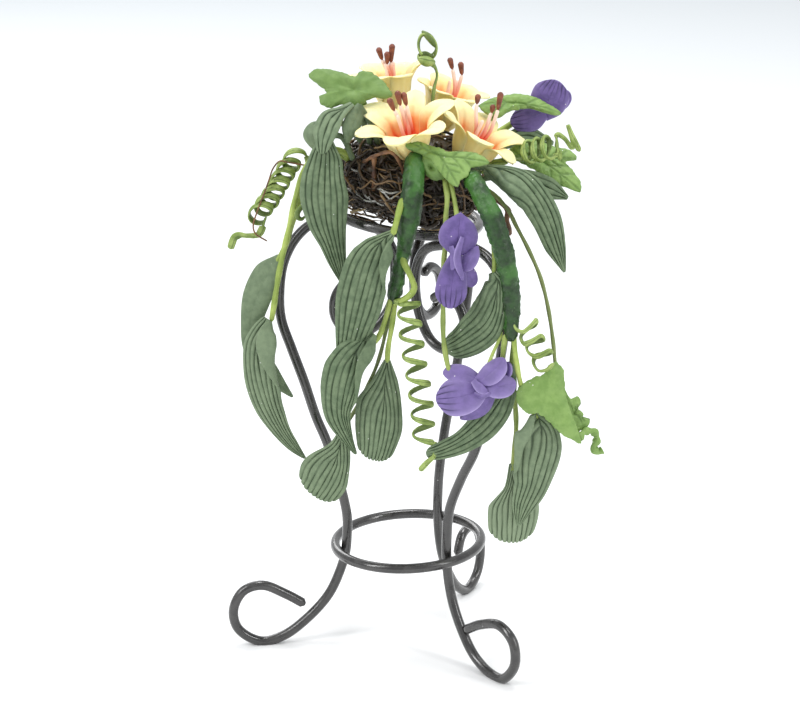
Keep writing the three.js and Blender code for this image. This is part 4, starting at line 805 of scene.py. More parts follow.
GROOVED_LEAVES = {
    "leaf_top_left": dict(
        facing=[(-0.3, -0.8, 0.6), (-0.3, -0.9, 0.2)], blunt=0.1, pale=0.15,
        spine=[(-6.9, -6.4, 79.3), (-8.3, -7.6, 78.7), (-9.6, -8.6, 77.9), (-10.3, -9.4, 76.5),
               (-10.7, -10.2, 75.2), (-10.8, -10.6, 73.6)],
        left=[0.4, 0.8, 1.8, 1.9, 1.2, 0.6], right=[0.4, 0.9, 1.6, 1.6, 1.3, 0.6],
        stalk=[(-7.1, -6.5, 79.2), (-5.8, -5.0, 77.4), (-4.4, -3.8, 73.0)]),
    "leaf_top_left_behind": dict(
        facing=[LEFT_FRONT, LEFT_FRONT], smooth=True, pale=0.2,
        spine=[(-11.0, -4.6, 76.4), (-12.2, -5.2, 76.1), (-12.7, -5.7, 75.2), (-12.3, -5.9, 74.2),
               (-11.7, -6.1, 73.2)],
        left=[0.3, 0.6, 0.9, 0.7, 0.2], right=[0.4, 1.1, 1.1, 0.8, 0.2],
        stalk=[(-11.2, -4.8, 76.4), (-8.4, -3.6, 76.2), (-5.2, -2.4, 72.8)]),
    "leaf_top_shaded": dict(
        facing=[RIGHT_FRONT, RIGHT_FRONT], smooth=True,
        spine=[(-5.8, -5.8, 79.1), (-6.4, -6.8, 77.7), (-7.2, -7.8, 76.2), (-7.6, -8.4, 74.6)],
        left=[0.5, 1.3, 1.2, 0.1], right=[0.4, 1.3, 1.2, 0.1],
        stalk=[(-5.9, -5.9, 79.0), (-4.6, -4.8, 76.6), (-3.4, -4.0, 73.2)]),
    "leaf_long_left": dict(
        facing=[(-0.1, -1, 0.3), (0.1, -1, 0)], fork=0.2,
        spine=[(-10.3, -8.6, 75.6), (-10.3, -9.2, 74.4), (-10.4, -9.8, 72.6), (-10.5, -10.5, 70.7),
               (-10.6, -11.0, 67.9), (-10.4, -11.1, 64.5), (-9.7, -11.0, 61.5),
               (-9.0, -10.7, 58.7), (-8.4, -10.2, 55.6)],
        left=[0.5, 1.7, 2.5, 3.2, 3.4, 2.6, 1.7, 1.2, 0.1],
        right=[0.5, 1.2, 2.2, 2.5, 3.2, 2.8, 1.9, 1.1, 0.1],
        stalk=[(-10.3, -8.7, 75.5), (-8.4, -7.2, 75.2), (-6.8, -5.2, 71.4)]),
    "leaf_far_left_back": dict(
        facing=[(-0.5, -0.9, 0), (0.2, -1, 0)], smooth=True, pale=0.15,
        spine=[(-17.0, -5.6, 58.4), (-18.7, -5.2, 55.5), (-20.3, -4.8, 52.2), (-21.2, -4.4, 48.6),
               (-20.9, -4.1, 44.7), (-18.7, -3.8, 41.1), (-15.8, -3.8, 37.7)],
        left=[0.4, 2.3, 2.2, 1.5, 1.5, 1.4, 0.1], right=[0.4, 1.8, 1.9, 1.6, 1.6, 1.2, 0.1]),
    "leaf_far_left": dict(
        facing=[(-0.4, -0.9, 0.15), (-0.1, -1, 0.1)], pale=0.3, ribs=4,
        spine=[(-18.9, -6.8, 50.0), (-19.7, -7.1, 48.7), (-20.2, -7.6, 46.8), (-20.1, -7.9, 44.1),
               (-19.6, -8.0, 40.9), (-18.7, -8.0, 37.5), (-17.2, -7.8, 34.1),
               (-15.7, -7.6, 31.8), (-14.1, -7.4, 30.0)],
        left=[0.5, 1.2, 2.1, 2.5, 2.7, 2.3, 1.4, 0.8, 0.1],
        right=[0.8, 2.2, 2.7, 2.2, 2.0, 1.8, 1.2, 0.8, 0.1],
        folded_right=[0.6, 2.2, 2.7, 1.7, 0.5, 0, 0, 0, 0]),
    "leaf_centre_upper": dict(
        facing=[(0.1, -1, 0.2), FRONT], blunt=0.06, fork=0.32,
        spine=[(-1.7, -15.0, 64.0), (-2.8, -15.3, 63.4), (-3.6, -15.5, 62.4), (-4.2, -15.7, 61.1),
               (-4.9, -15.7, 59.1), (-6.0, -15.2, 55.0), (-6.9, -14.4, 51.3), (-7.8, -13.4, 47.5),
               (-8.3, -12.9, 45.1)],
        left=[0.4, 0.7, 1.8, 2.8, 3.4, 3.4, 2.7, 1.7, 0.8],
        right=[0.4, 1.2, 2.1, 2.2, 2.2, 3.1, 2.7, 1.9, 0.8],
        folded_right=[0.1, 0.8, 1.7, 1.7, 0.9, 0, 0, 0, 0]),
    "leaf_centre_lower": dict(
        facing=[(0.2, -1, 0.2), FRONT], fork=0.42,
        spine=[(-4.7, -13.4, 50.1), (-5.9, -13.8, 48.8), (-6.9, -14.3, 47.2), (-7.6, -14.7, 45.1),
               (-8.4, -14.7, 42.0), (-8.8, -14.2, 38.6), (-7.9, -13.4, 35.1),
               (-7.0, -12.8, 32.5)],
        left=[0.5, 1.3, 2.6, 3.5, 3.3, 2.4, 1.2, 0.1],
        right=[0.8, 2.0, 2.2, 1.6, 1.7, 1.2, 0.5, 0.1],
        folded_right=[0.6, 2.0, 2.2, 1.2, 0.5, 0, 0, 0]),
    "leaf_centre_low_round": dict(
        facing=[FRONT, (-0.2, -1, 0.2)], blunt=0.3, fork=0.45, pale=0.25,
        spine=[(-8.9, -10.4, 34.8), (-9.2, -10.7, 32.8), (-9.9, -11.0, 30.7), (-11.0, -11.4, 28.7),
               (-12.0, -11.7, 27.0), (-12.7, -11.8, 25.9)],
        left=[0.5, 1.6, 3.3, 4.1, 3.8, 3.6], right=[0.5, 1.4, 2.2, 3.1, 3.0, 2.7]),
    "leaf_spoon": dict(
        facing=[FRONT, FRONT], blunt=0.22, fork=0.5, pale=0.15,
        spine=[(-2.6, -12.4, 45.7), (-2.9, -12.7, 43.0), (-3.1, -13.0, 39.8), (-3.6, -13.2, 36.3),
               (-4.1, -13.2, 33.2), (-4.5, -13.1, 31.6)],
        left=[0.4, 1.7, 3.8, 3.6, 2.9, 2.6], right=[0.4, 1.7, 2.4, 3.0, 2.4, 2.0]),
    "leaf_long_right": dict(
        facing=[(0.2, -0.6, 0.8), (0.1, -1, 0.1)], fork=0.25,
        spine=[(10.8, -7.6, 70.9), (13.1, -9.6, 70.9), (15.5, -11.2, 69.9), (17.5, -12.2, 67.5),
               (18.9, -12.7, 64.7), (20.1, -12.9, 61.3), (21.0, -12.8, 57.8)],
        left=[0.4, 1.3, 2.4, 2.4, 2.1, 1.7, 0.1], right=[0.4, 1.0, 1.8, 2.0, 1.9, 1.1, 0.1],
        folded_left=[-1.0, -2.6, -1.6, 0, 0, 0, 0],
        stalk=[(11.0, -7.8, 70.9), (9.2, -5.6, 70.4), (7.4, -4.0, 69.0)]),
    "leaf_right_behind": dict(
        facing=[(0.1, -0.7, 0.7), (0.1, -0.9, 0.4)],
        spine=[(12.4, -4.6, 69.0), (16.0, -5.6, 68.8), (19.2, -6.0, 67.6), (21.8, -6.2, 66.2)],
        left=[0.6, 1.5, 1.6, 0.2], right=[0.6, 1.5, 1.6, 0.2],
        stalk=[(12.6, -4.7, 69.0), (10.4, -4.0, 68.4), (8.0, -3.2, 67.6)]),
    "leaf_right_shaded": dict(
        facing=[(0, -0.7, 0.7), (0, -0.8, 0.5)],
        spine=[(13.0, 1.8, 71.6), (16.4, 2.6, 72.8), (20.4, 3.0, 71.6)],
        left=[0.6, 1.6, 0.2], right=[0.6, 1.6, 0.2],
        stalk=[(13.2, 1.8, 71.7), (10.6, 1.2, 70.6), (8.2, 0.8, 69.4)]),
    "leaf_curved_upper": dict(
        facing=[(-0.3, -1, 0.1), (-0.35, -1, 0.2)], blunt=0.08, fork=0.42,
        spine=[(11.5, -16.4, 58.9), (12.1, -16.5, 57.7), (11.9, -16.5, 56.1), (11.4, -16.2, 53.6),
               (10.3, -15.7, 51.5), (8.7, -15.0, 49.9), (7.0, -14.1, 48.5), (5.3, -12.9, 47.3)],
        left=[0.5, 1.6, 2.0, 2.9, 3.0, 2.7, 2.0, 1.5], right=[0.5, 1.0, 1.4, 1.8, 2.6, 2.7, 2.3, 1.5],
        folded_left=[-0.4, -0.8, -0.8, 0, 0, 0, 0, 0]),
    "leaf_curved_lower": dict(
        facing=[(0.2, -1, 0.2), (-0.2, -1, 0.2)], blunt=0.07,
        spine=[(13.5, -15.4, 45.9), (13.5, -15.4, 43.0), (12.0, -15.6, 40.3), (10.0, -15.7, 37.6),
               (7.3, -15.8, 35.4), (4.8, -15.9, 34.1), (2.5, -15.9, 33.4)],
        left=[0.7, 1.9, 2.1, 1.9, 1.3, 1.2, 0.8], right=[0.7, 1.2, 2.3, 2.4, 1.9, 1.3, 0.8]),
    "leaf_right_hanging": dict(
        facing=[(0.1, -1, 0.2), (0.1, -1, 0.1)], fork=0.25, pale=0.25,
        spine=[(17.2, -15.9, 39.2), (17.9, -16.1, 37.3), (17.8, -16.2, 34.6), (17.1, -16.2, 31.7),
               (16.5, -16.1, 28.8), (15.5, -15.9, 25.9), (14.9, -15.6, 23.0)],
        left=[0.8, 3.3, 3.4, 2.7, 2.2, 1.5, 0.2], right=[0.8, 2.1, 3.1, 3.2, 2.6, 1.9, 0.2],
        folded_left=[0.7, 2.3, 1.5, 0.8, 0, 0, 0]),
    "leaf_right_lowest": dict(
        facing=[FRONT, FRONT], blunt=0.28, fork=0.35, pale=0.6,
        spine=[(14.2, -13.0, 30.9), (14.2, -13.1, 27.7), (14.3, -13.2, 24.6), (14.2, -13.3, 21.5),
               (14.1, -13.3, 19.5)],
        left=[0.4, 1.0, 3.4, 3.4, 3.2], right=[0.4, 1.6, 3.7, 3.3, 2.5]),
}
for name, leaf in GROOVED_LEAVES.items():
    stalk, smooth = leaf.pop("stalk", None), leaf.pop("smooth", False)
    fork, pale = leaf.pop("fork", 0.4), leaf.pop("pale", 0.0)
    widest = max(max(leaf["left"]), max(leaf["right"]))
    ribs = leaf.pop("ribs", max(2, round(widest / RIB_WIDTH)))
    points, outward, along, across, ease = blade(ribs=ribs, **leaf)
    groove_and_shade, ridge = forked_grooves(along, across, ribs, fork, leaf.get("blunt", 0) < 0.1)
    groove_and_shade, ridge = groove_and_shade * (not smooth), ridge * (not smooth)
    lift = LEAF_THICKNESS / 2 * ease
    front = points + outward * (lift - GROOVE_DEPTH * groove_and_shade - RIDGE_DEPTH * ridge)[..., None]
    back = points - outward * lift[..., None]
    paler = np.full_like(along, pale)
    # The depth of the grooves is also written as the mark of painted shade in them.
    closed_blade(f"{name}_pressed", front, back, leaf_clay,
                 {"groove_and_shade": (0.7 * groove_and_shade, 0 * groove_and_shade), "pale": (paler, paler)},
                 "grooved_leaf", [name])
    if stalk:
        stalk_rod = rods(f"{name}_stalk", [even_line(stalk, STALK_STEP)], STALK_RADIUS, leaf_clay)
        fasten(made_solid(stalk_rod), "grooved_leaf")

# ---- Tendrils -----------------------------------------------------------------------------
# Yellow-green clay, rolled thin, pressed flat and wound into coils that were then pulled open.
# Each coil goes round two half axes, across the view and away from it, on its way to its end;
# size is (half thickness, width over thickness).
COILS = {
    "tendril_left": dict(
        start=(-14.5, -3.8, 71.8), end=(-20.1, -4.6, 63.4), across=(1.3, 0, 0), rise=(0, -0.5, 1.1),
        turns=7, size=(0.19, 2.4), lead=[(-11.0, -4.4, 69.2), (-12.6, -4.2, 70.4)],
        tail=[(-19.8, -4.8, 61.3), (-21.3, -5.2, 61.2), (-22.8, -5.3, 61.3), (-23.7, -5.2, 59.4)]),
    "tendril_centre": dict(
        start=(0.3, -14.8, 54.2), end=(2.4, -14.8, 34.5), across=(1.45, 0, 0.1), rise=(0, 0.75, 0),
        turns=7, size=(0.2, 1.9), lead=[(-1.6, -13.8, 54.3), (-0.9, -14.4, 54.2), (0.4, -14.9, 54.3)],
        tail=[(3.6, -16.2, 33.4), (2.6, -16.5, 32.5), (1.6, -16.6, 31.4)]),
    "tendril_far_right": dict(
        start=(16.0, -5.0, 72.0), end=(19.8, -5.2, 73.2), across=(0.75, 0, -0.5), rise=(0.3, 0.6, 1.35),
        turns=3, size=(0.27, 1.3), lead=[(11.4, -3.6, 69.8), (13.6, -4.4, 71.2)],
        tail=[(20.8, -5.6, 71.4), (20.3, -5.3, 73.4), (20.4, -5.2, 74.7), (21.3, -5.2, 74.2),
              (22.4, -5.2, 72.9), (22.6, -5.1, 73.4), (21.8, -5.1, 75.9), (22.4, -5.2, 74.4),
              (23.4, -5.2, 72.4)]),
}
LOOSE_TENDRILS = {
    "tendril_right": [
        (13.4, -16.4, 52.9), (13.8, -16.9, 52.4), (14.5, -17.3, 51.3), (15.4, -17.6, 51.1),
        (17.1, -16.9, 52.4), (16.9, -16.2, 51.6), (15.8, -16.0, 50.8), (15.1, -16.4, 50.0),
        (15.5, -17.2, 49.3), (16.4, -17.5, 49.7), (17.7, -17.2, 50.4), (18.1, -16.5, 49.7),
        (16.4, -15.9, 49.0), (15.9, -16.2, 48.6), (16.1, -17.0, 48.0), (17.2, -17.4, 47.6),
        (18.8, -17.2, 48.3), (19.2, -16.6, 48.0), (18.8, -16.0, 47.5), (17.1, -15.9, 47.1),
        (16.8, -16.3, 46.4), (17.4, -17.0, 45.5), (18.5, -17.3, 45.7), (19.4, -17.0, 46.5)],
    "tendril_top": [
        (3.4, 0.6, 73.6), (3.8, 0.7, 77.2), (4.1, 0.6, 80.0), (4.5, 1.0, 81.7), (4.1, 0.6, 83.0),
        (3.1, -0.2, 83.8), (2.1, 0.4, 84.0), (2.1, 1.2, 84.3), (2.9, 1.9, 84.4), (3.8, 1.6, 84.1),
        (4.4, 1.2, 85.0), (4.3, 1.2, 86.0), (3.6, 1.3, 86.9), (2.6, 1.4, 87.1), (2.1, 1.3, 86.3),
        (2.1, 1.0, 85.2), (2.5, 0.4, 84.5)],
}
COIL_MIDDLES = {"tendril_right": [(15.6, -16.8, 51.8), (18.0, -16.6, 46.2)],
                "tendril_top": [(3.2, 0.8, 70.0), (3.2, 0.8, 85.6)]}
PRESSED_ENDS = {  # pieces pinched wider in the middle: radius and line
    "tendril_curled_end": (0.4, [(-13.0, -8.5, 66.7), (-13.7, -8.8, 66.1), (-14.3, -9.0, 65.4),
                                 (-14.3, -9.0, 64.7), (-13.8, -8.9, 64.4), (-13.3, -8.8, 64.8)]),
    "tendril_top_pod": (0.72, [(2.0, 0.1, 84.1), (3.1, -0.3, 83.8), (4.2, 0.2, 83.6)]),
    "tendril_top_tip": (0.5, [(4.4, 1.2, 85.4), (3.6, 1.3, 86.6), (2.5, 1.4, 87.6)]),
    "tendril_left_split_end": (0.28, [(-21.9, -5.2, 61.2), (-22.8, -5.2, 60.9), (-23.6, -5.1, 60.4)]),
    "tendril_far_right_root": (0.5, [(10.2, -4.6, 69.4), (12.0, -4.6, 70.6), (13.8, -4.8, 70.8)]),
}
COIL_THREAD = [
    (-13.0, -4.4, 70.6), (-15.6, -4.8, 71.2), (-16.7, -4.9, 71.4), (-17.6, -5.2, 70.5),
    (-18.2, -5.3, 68.9), (-19.0, -5.3, 66.8), (-20.0, -5.3, 64.3), (-20.5, -5.2, 62.5),
    (-20.2, -5.6, 61.6), (-18.6, -5.6, 60.5)]
TENDRIL_STEP = 0.14
LOOSE_SIZE = (0.22, 1.6)
BEHIND = np.array([0, 1.2, 0.4])


def coil_line(start, end, across, rise, turns, lead, tail, steps=14):
    """The line of a coil drawn out from one place to another, and the places it turns away from."""
    start, end, across, rise = (np.array(place, float) for place in (start, end, across, rise))
    count = round(turns * steps)
    share = np.arange(count + 1)[:, None] / count
    angle = 2 * math.pi * turns * share
    middle = start + share * (end - start)
    uneven = 1 + 0.10 * np.sin(5.3 * share * turns)
    coil = middle + uneven * (np.cos(angle) * across + np.sin(angle) * rise)
    core = np.vstack([np.array(lead) + BEHIND, middle, np.array(tail) + BEHIND])
    return even_line([*lead, *coil.tolist(), *tail], TENDRIL_STEP), core


tendril_clay, node, feed, dust = dusted("yellow_green_clay", {"Roughness": 0.5}, 700.0,
                                        (2600.0, 0.010), (4200.0, 0.6))
# The face of each coil that turns toward its middle is painted darker: painted shade inside the coil.
from_shaded_inner_face = worked(node, "ABSOLUTE", worked(node, "SUBTRACT", mark_on(node, "around"), 0.5))
feed("Base Color", tinted(node, dust, (0.165, 0.245, 0.045), (0.330, 0.430, 0.120),
                          [(share_of(node, from_shaded_inner_face, 0.28, 0.14, 0.75), (0.060, 0.105, 0.018))]))


def ribbon(name, line, middle, half, flatness):
    """A flattened tendril whose broad side faces away from the middle of its coil."""
    nearest = ((line[:, None] - middle[None]) ** 2).sum(2).argmin(1)
    girth = rounded_ends(line, half, 1.2) * (1 + 0.16 * np.sin(np.arange(len(line)) * 0.19))
    return made_solid(rods(name, [line], half, tendril_clay, sides=14, girths=[girth],
                           flatness=flatness, lies=[unit(line - middle[nearest] + 1e-4)]))


for name, coil in COILS.items():
    size = coil.pop("size")
    fasten(ribbon(f"{name}_coil", *coil_line(**coil), *size), "tendril", name)
for name, places in LOOSE_TENDRILS.items():
    start, end = (np.array(place) for place in COIL_MIDDLES[name])
    middle = start + np.linspace(0, 1, 40)[:, None] * (end - start)
    line = even_line(places, TENDRIL_STEP)
    fasten(ribbon(f"{name}_coil", line, middle, *LOOSE_SIZE), "tendril", name)
for name, (radius, places) in PRESSED_ENDS.items():
    line = even_line(places, 0.12)
    swell = np.sin(math.pi * np.linspace(0.08, 0.94, len(line))) ** 0.8
    fasten(made_solid(rods(name, [line], radius, tendril_clay, girths=[swell])), "tendril")

# ---- Ivy ----------------------------------------------------------------------------------
# Lobed leaves of bright green clay pressed in a veined mould; some show their smooth underside
# or have a lobe rolled under. Each outline goes clockwise round the edge; veins run to tips.
IVY_THICKNESS = 0.5
LEAF_RINGS = 34
LEAF_EDGE_STEP = 0.14
VEIN_HALF_WIDTH = 0.15
VEIN_DEPTH = 0.15
IVY_STALK_RADIUS, IVY_CURL_RADIUS = 0.42, 0.5
IVY = {
    "ivy_front": dict(
        outline=[(0.1, -10.3, 75.1), (1.1, -10.1, 75.3), (2.2, -10.3, 75.0), (3.7, -10.7, 74.5),
                 (4.8, -10.8, 74.3), (5.4, -11.1, 73.9), (7.5, -11.2, 73.9), (9.6, -11.3, 73.6),
                 (11.0, -12.1, 72.6), (9.8, -12.4, 72.2), (8.7, -12.5, 72.0), (8.2, -13.2, 71.1),
                 (7.3, -13.6, 70.6), (6.9, -14.1, 70.0), (6.4, -14.1, 70.0), (5.2, -13.4, 70.9),
                 (4.3, -12.7, 71.8), (3.3, -12.1, 72.6), (2.5, -11.5, 73.4), (1.1, -11.0, 74.0),
                 (0.2, -10.8, 74.4)],
        centre=(4.6, -11.7, 73.4), facing=(0, -0.8, 0.6), tips=[0, 8, 13], dish=-0.25,
        stalk=[(5.4, -11.2, 72.8), (5.4, -9.0, 71.8), (5.2, -6.0, 70.4)]),
    "ivy_front_rolled_lobe": dict(
        outline=[(3.5, -11.5, 73.5), (4.8, -12.0, 72.3), (5.3, -12.1, 70.7), (4.1, -11.9, 70.2),
                 (2.9, -11.5, 70.8), (2.2, -11.2, 72.1), (2.3, -11.0, 73.5)],
        centre=(3.6, -11.6, 71.9), facing=(-0.3, -1, 0.1), tips=[], dish=-0.7, veined=False,
        shaded=0.45),
    "ivy_top_left": dict(
        outline=[(-12.8, -1.8, 82.5), (-11.7, -1.6, 83.1), (-10.0, -1.7, 83.1), (-7.9, -2.3, 82.7),
                 (-6.5, -2.6, 82.3), (-5.8, -2.4, 82.9), (-4.6, -2.5, 82.9), (-3.3, -3.1, 82.2),
                 (-2.2, -3.8, 81.2), (-1.6, -4.6, 80.0), (-2.7, -4.6, 79.7), (-4.1, -4.4, 79.8),
                 (-5.5, -4.6, 79.1), (-6.8, -4.7, 78.8), (-8.3, -4.4, 78.9), (-9.9, -4.5, 78.5),
                 (-11.2, -4.0, 79.1), (-11.3, -3.6, 79.8), (-10.3, -3.3, 80.3),
                 (-11.5, -2.6, 81.3), (-12.5, -2.1, 82.0)],
        centre=(-6.6, -3.5, 80.6), facing=(-0.1, -0.85, 0.5), tips=[0, 15], dish=-0.3,
        veined=False, shaded=0.38,
        stalk=[(-6.2, -2.8, 80.4), (-5.0, -2.0, 77.6), (-3.6, -1.6, 73.2)]),
    "ivy_top_right": dict(
        outline=[(10.0, 1.0, 77.4), (11.7, 1.9, 78.1), (13.5, 2.6, 78.4), (15.5, 3.0, 78.5),
                 (17.6, 3.1, 78.1), (19.3, 2.8, 77.3), (21.3, 2.0, 76.0), (20.8, 1.8, 75.8),
                 (19.1, 1.7, 76.2), (17.1, 1.8, 76.8), (15.3, 1.4, 76.7), (14.1, 1.0, 76.5),
                 (12.8, 0.2, 75.9), (11.3, 0.3, 76.3)],
        centre=(15.0, 1.9, 77.4), facing=(0.15, -0.75, 0.65), tips=[0, 6], dish=-0.45,
        stalk=[(12.6, 1.2, 77.0), (11.4, 1.2, 74.4), (8.4, 0.6, 71.6)]),
    "ivy_right": dict(
        outline=[(13.2, -1.9, 70.9), (15.4, -0.7, 72.6), (17.8, -0.4, 73.0), (19.3, -0.8, 72.4),
                 (20.2, -1.1, 72.1), (22.4, -1.5, 71.6), (23.3, -2.2, 70.6), (21.8, -2.4, 70.3),
                 (22.6, -3.1, 69.3), (23.6, -4.2, 67.9), (23.6, -5.1, 66.8), (21.4, -4.6, 67.4),
                 (19.8, -4.3, 67.8), (18.2, -3.5, 68.9), (15.6, -2.4, 70.3)],
        centre=(18.2, -2.2, 70.6), facing=(0, -0.8, 0.6), tips=[0, 6, 10], dish=-0.3,
        stalk=[(15.2, -1.9, 70.8), (12.2, -1.8, 70.2), (8.6, -1.4, 69.8)]),
    "ivy_lower_right": dict(
        outline=[(19.9, -15.5, 46.3), (20.8, -15.6, 45.2), (20.9, -15.9, 43.8), (21.2, -16.3, 41.7),
                 (21.7, -16.7, 39.8), (22.5, -17.0, 37.8), (23.1, -17.4, 35.3), (21.7, -17.4, 36.0),
                 (20.5, -17.4, 36.7), (18.7, -17.2, 38.5), (17.4, -17.1, 39.5), (16.1, -17.3, 39.6),
                 (14.7, -17.1, 40.9), (14.5, -16.9, 42.3), (15.0, -16.6, 43.2), (16.9, -16.2, 44.3),
                 (18.2, -16.0, 44.7), (18.9, -15.7, 45.8)],
        centre=(19.0, -16.8, 41.4), facing=(0.1, -1, 0.2), tips=[], dish=-0.15, veined=False,
        curl=[(22.9, -16.8, 35.8), (23.6, -16.0, 36.4), (24.5, -15.4, 36.4), (25.3, -15.0, 35.8),
              (25.4, -15.0, 34.7), (25.0, -15.2, 34.0), (25.6, -15.0, 33.2), (26.2, -14.8, 33.4)]),
    "ivy_lower_right_small_lobes": dict(
        outline=[(20.8, -15.6, 42.8), (21.9, -15.5, 41.0), (22.8, -15.2, 41.2), (23.2, -15.2, 40.2),
                 (22.8, -15.4, 39.7), (23.6, -15.3, 38.8), (23.5, -15.3, 38.1), (24.4, -15.0, 38.0),
                 (24.3, -15.2, 37.2), (23.4, -15.4, 36.6), (22.4, -15.8, 36.2), (21.4, -15.9, 38.0),
                 (20.6, -15.8, 40.2)],
        centre=(22.2, -15.5, 38.9), facing=(0.3, -1, 0.2), tips=[3, 7], dish=-0.1),
}


def to_segments(points, starts, ends):
    """The distance from each point to the nearest of several straight lines."""
    run = ends - starts
    share = ((points[:, None] - starts[None]) * run[None]).sum(2) / (run ** 2).sum(1)[None]
    nearest = starts[None] + np.clip(share, 0, 1)[..., None] * run[None]
    return np.linalg.norm(points[:, None] - nearest, axis=2).min(1)


def roughness_at(places, scale):
    """A smooth random height at each place, the same on every run."""
    return np.array([noise.noise(Vector(place) * scale) for place in places.reshape(-1, 3)])


def lobed_leaf(outline, centre, facing, tips, dish, veined=True, shaded=0.0):
    """Front and back grids of a lobed leaf, and a mark of painted shade: in its veins, and over the
    whole leaf as much as shaded gives.
    """
    normal = unit(np.array(facing, float))
    middle = np.array(centre, float)
    edge = even_line([*outline, outline[0]], LEAF_EDGE_STEP)[:-1]
    edge = edge + unit(edge - middle) * (0.16 * roughness_at(edge, 2.4))[:, None]
    shares = np.linspace(0, 1, LEAF_RINGS)[:, None]
    grid = middle + shares[..., None] * (edge - middle)[None]
    starts, ends = [middle], [middle + 0.1]
    for tip in np.array(outline, float)[tips]:
        starts.append(middle)
        ends.append(tip)
        for part, lean in ((0.25, 0.34), (0.5, 0.26)):
            for hand in (-1, 1):
                root = middle + (tip - middle) * part
                across = np.cross(normal, tip - middle) * hand
                starts.append(root)
                ends.append(root + (tip - middle) * lean * 0.8 + across * lean * 0.8)
    away = to_segments(grid.reshape(-1, 3), np.array(starts), np.array(ends)).reshape(grid.shape[:2])
    vein = np.exp(-(away / VEIN_HALF_WIDTH) ** 2) * veined
    grid = grid + normal * (-dish * np.sin(math.pi * shares))[..., None]
    ease = IVY_THICKNESS / 2 * (1 - 0.5 * shares ** 10)
    puffs = 0.16 * roughness_at(grid, 0.8) + 0.10 * veined * roughness_at(grid, 2.2)
    puffs = puffs.reshape(grid.shape[:2]) * (1 - shares ** 8)
    front = grid + normal * (ease + puffs - VEIN_DEPTH * vein * (shares < 0.97))[..., None]
    back = grid - normal * ease[..., None]
    return front, back, np.clip(0.5 * vein + shaded, 0, 1)


def closed_lobes(name, front, back, vein, nodes):
    """A closed piece from the two round grids of a lobed leaf."""
    count = front.shape[0] * front.shape[1]
    ids = np.arange(count).reshape(front.shape[:2])
    ids = np.hstack([ids, ids[:, :1]])
    rim = np.stack([ids[-1, :-1], ids[-1, 1:], ids[-1, 1:] + count, ids[-1, :-1] + count], -1)
    faces = np.concatenate([quads(ids), quads(ids)[:, ::-1] + count, rim])
    points = np.concatenate([front.reshape(-1, 3), back.reshape(-1, 3)])
    piece = modelled(name, points, faces, ivy_clay)
    note(piece.data, "groove_and_shade", np.concatenate([vein.ravel(), np.zeros(count)]))
    return fasten(piece, "ivy", *nodes)


ivy_clay, node, feed, dust = dusted("ivy_green_clay", {"Roughness": 0.55}, 800.0, (2600.0, 0.010),
                                    (4200.0, 0.4))
# Veins, and leaves or lobes that lie in shade, are darkened: painted shade.
feed("Base Color", tinted(node, dust, (0.150, 0.265, 0.058), (0.215, 0.345, 0.090),
                          [(mark_on(node, "groove_and_shade"), (0.060, 0.125, 0.025))]))
for name, ivy in IVY.items():
    stalk, curl = ivy.pop("stalk", None), ivy.pop("curl", None)
    solid_leaf = [] if name.endswith(("rolled_lobe", "small_lobes")) else [name]
    closed_lobes(f"{name}_pressed", *lobed_leaf(**ivy), solid_leaf)
    for part, places, radius in (("stalk", stalk, IVY_STALK_RADIUS), ("curl", curl, IVY_CURL_RADIUS)):
        if places:
            line = even_line(places, 0.2)
            uneven = 1 + 0.25 * np.sin(np.arange(len(line)) * 0.9) * (part == "curl")
            rod = rods(f"{name}_{part}", [line], radius, ivy_clay, girths=[uneven])
            fasten(made_solid(rod), "ivy")

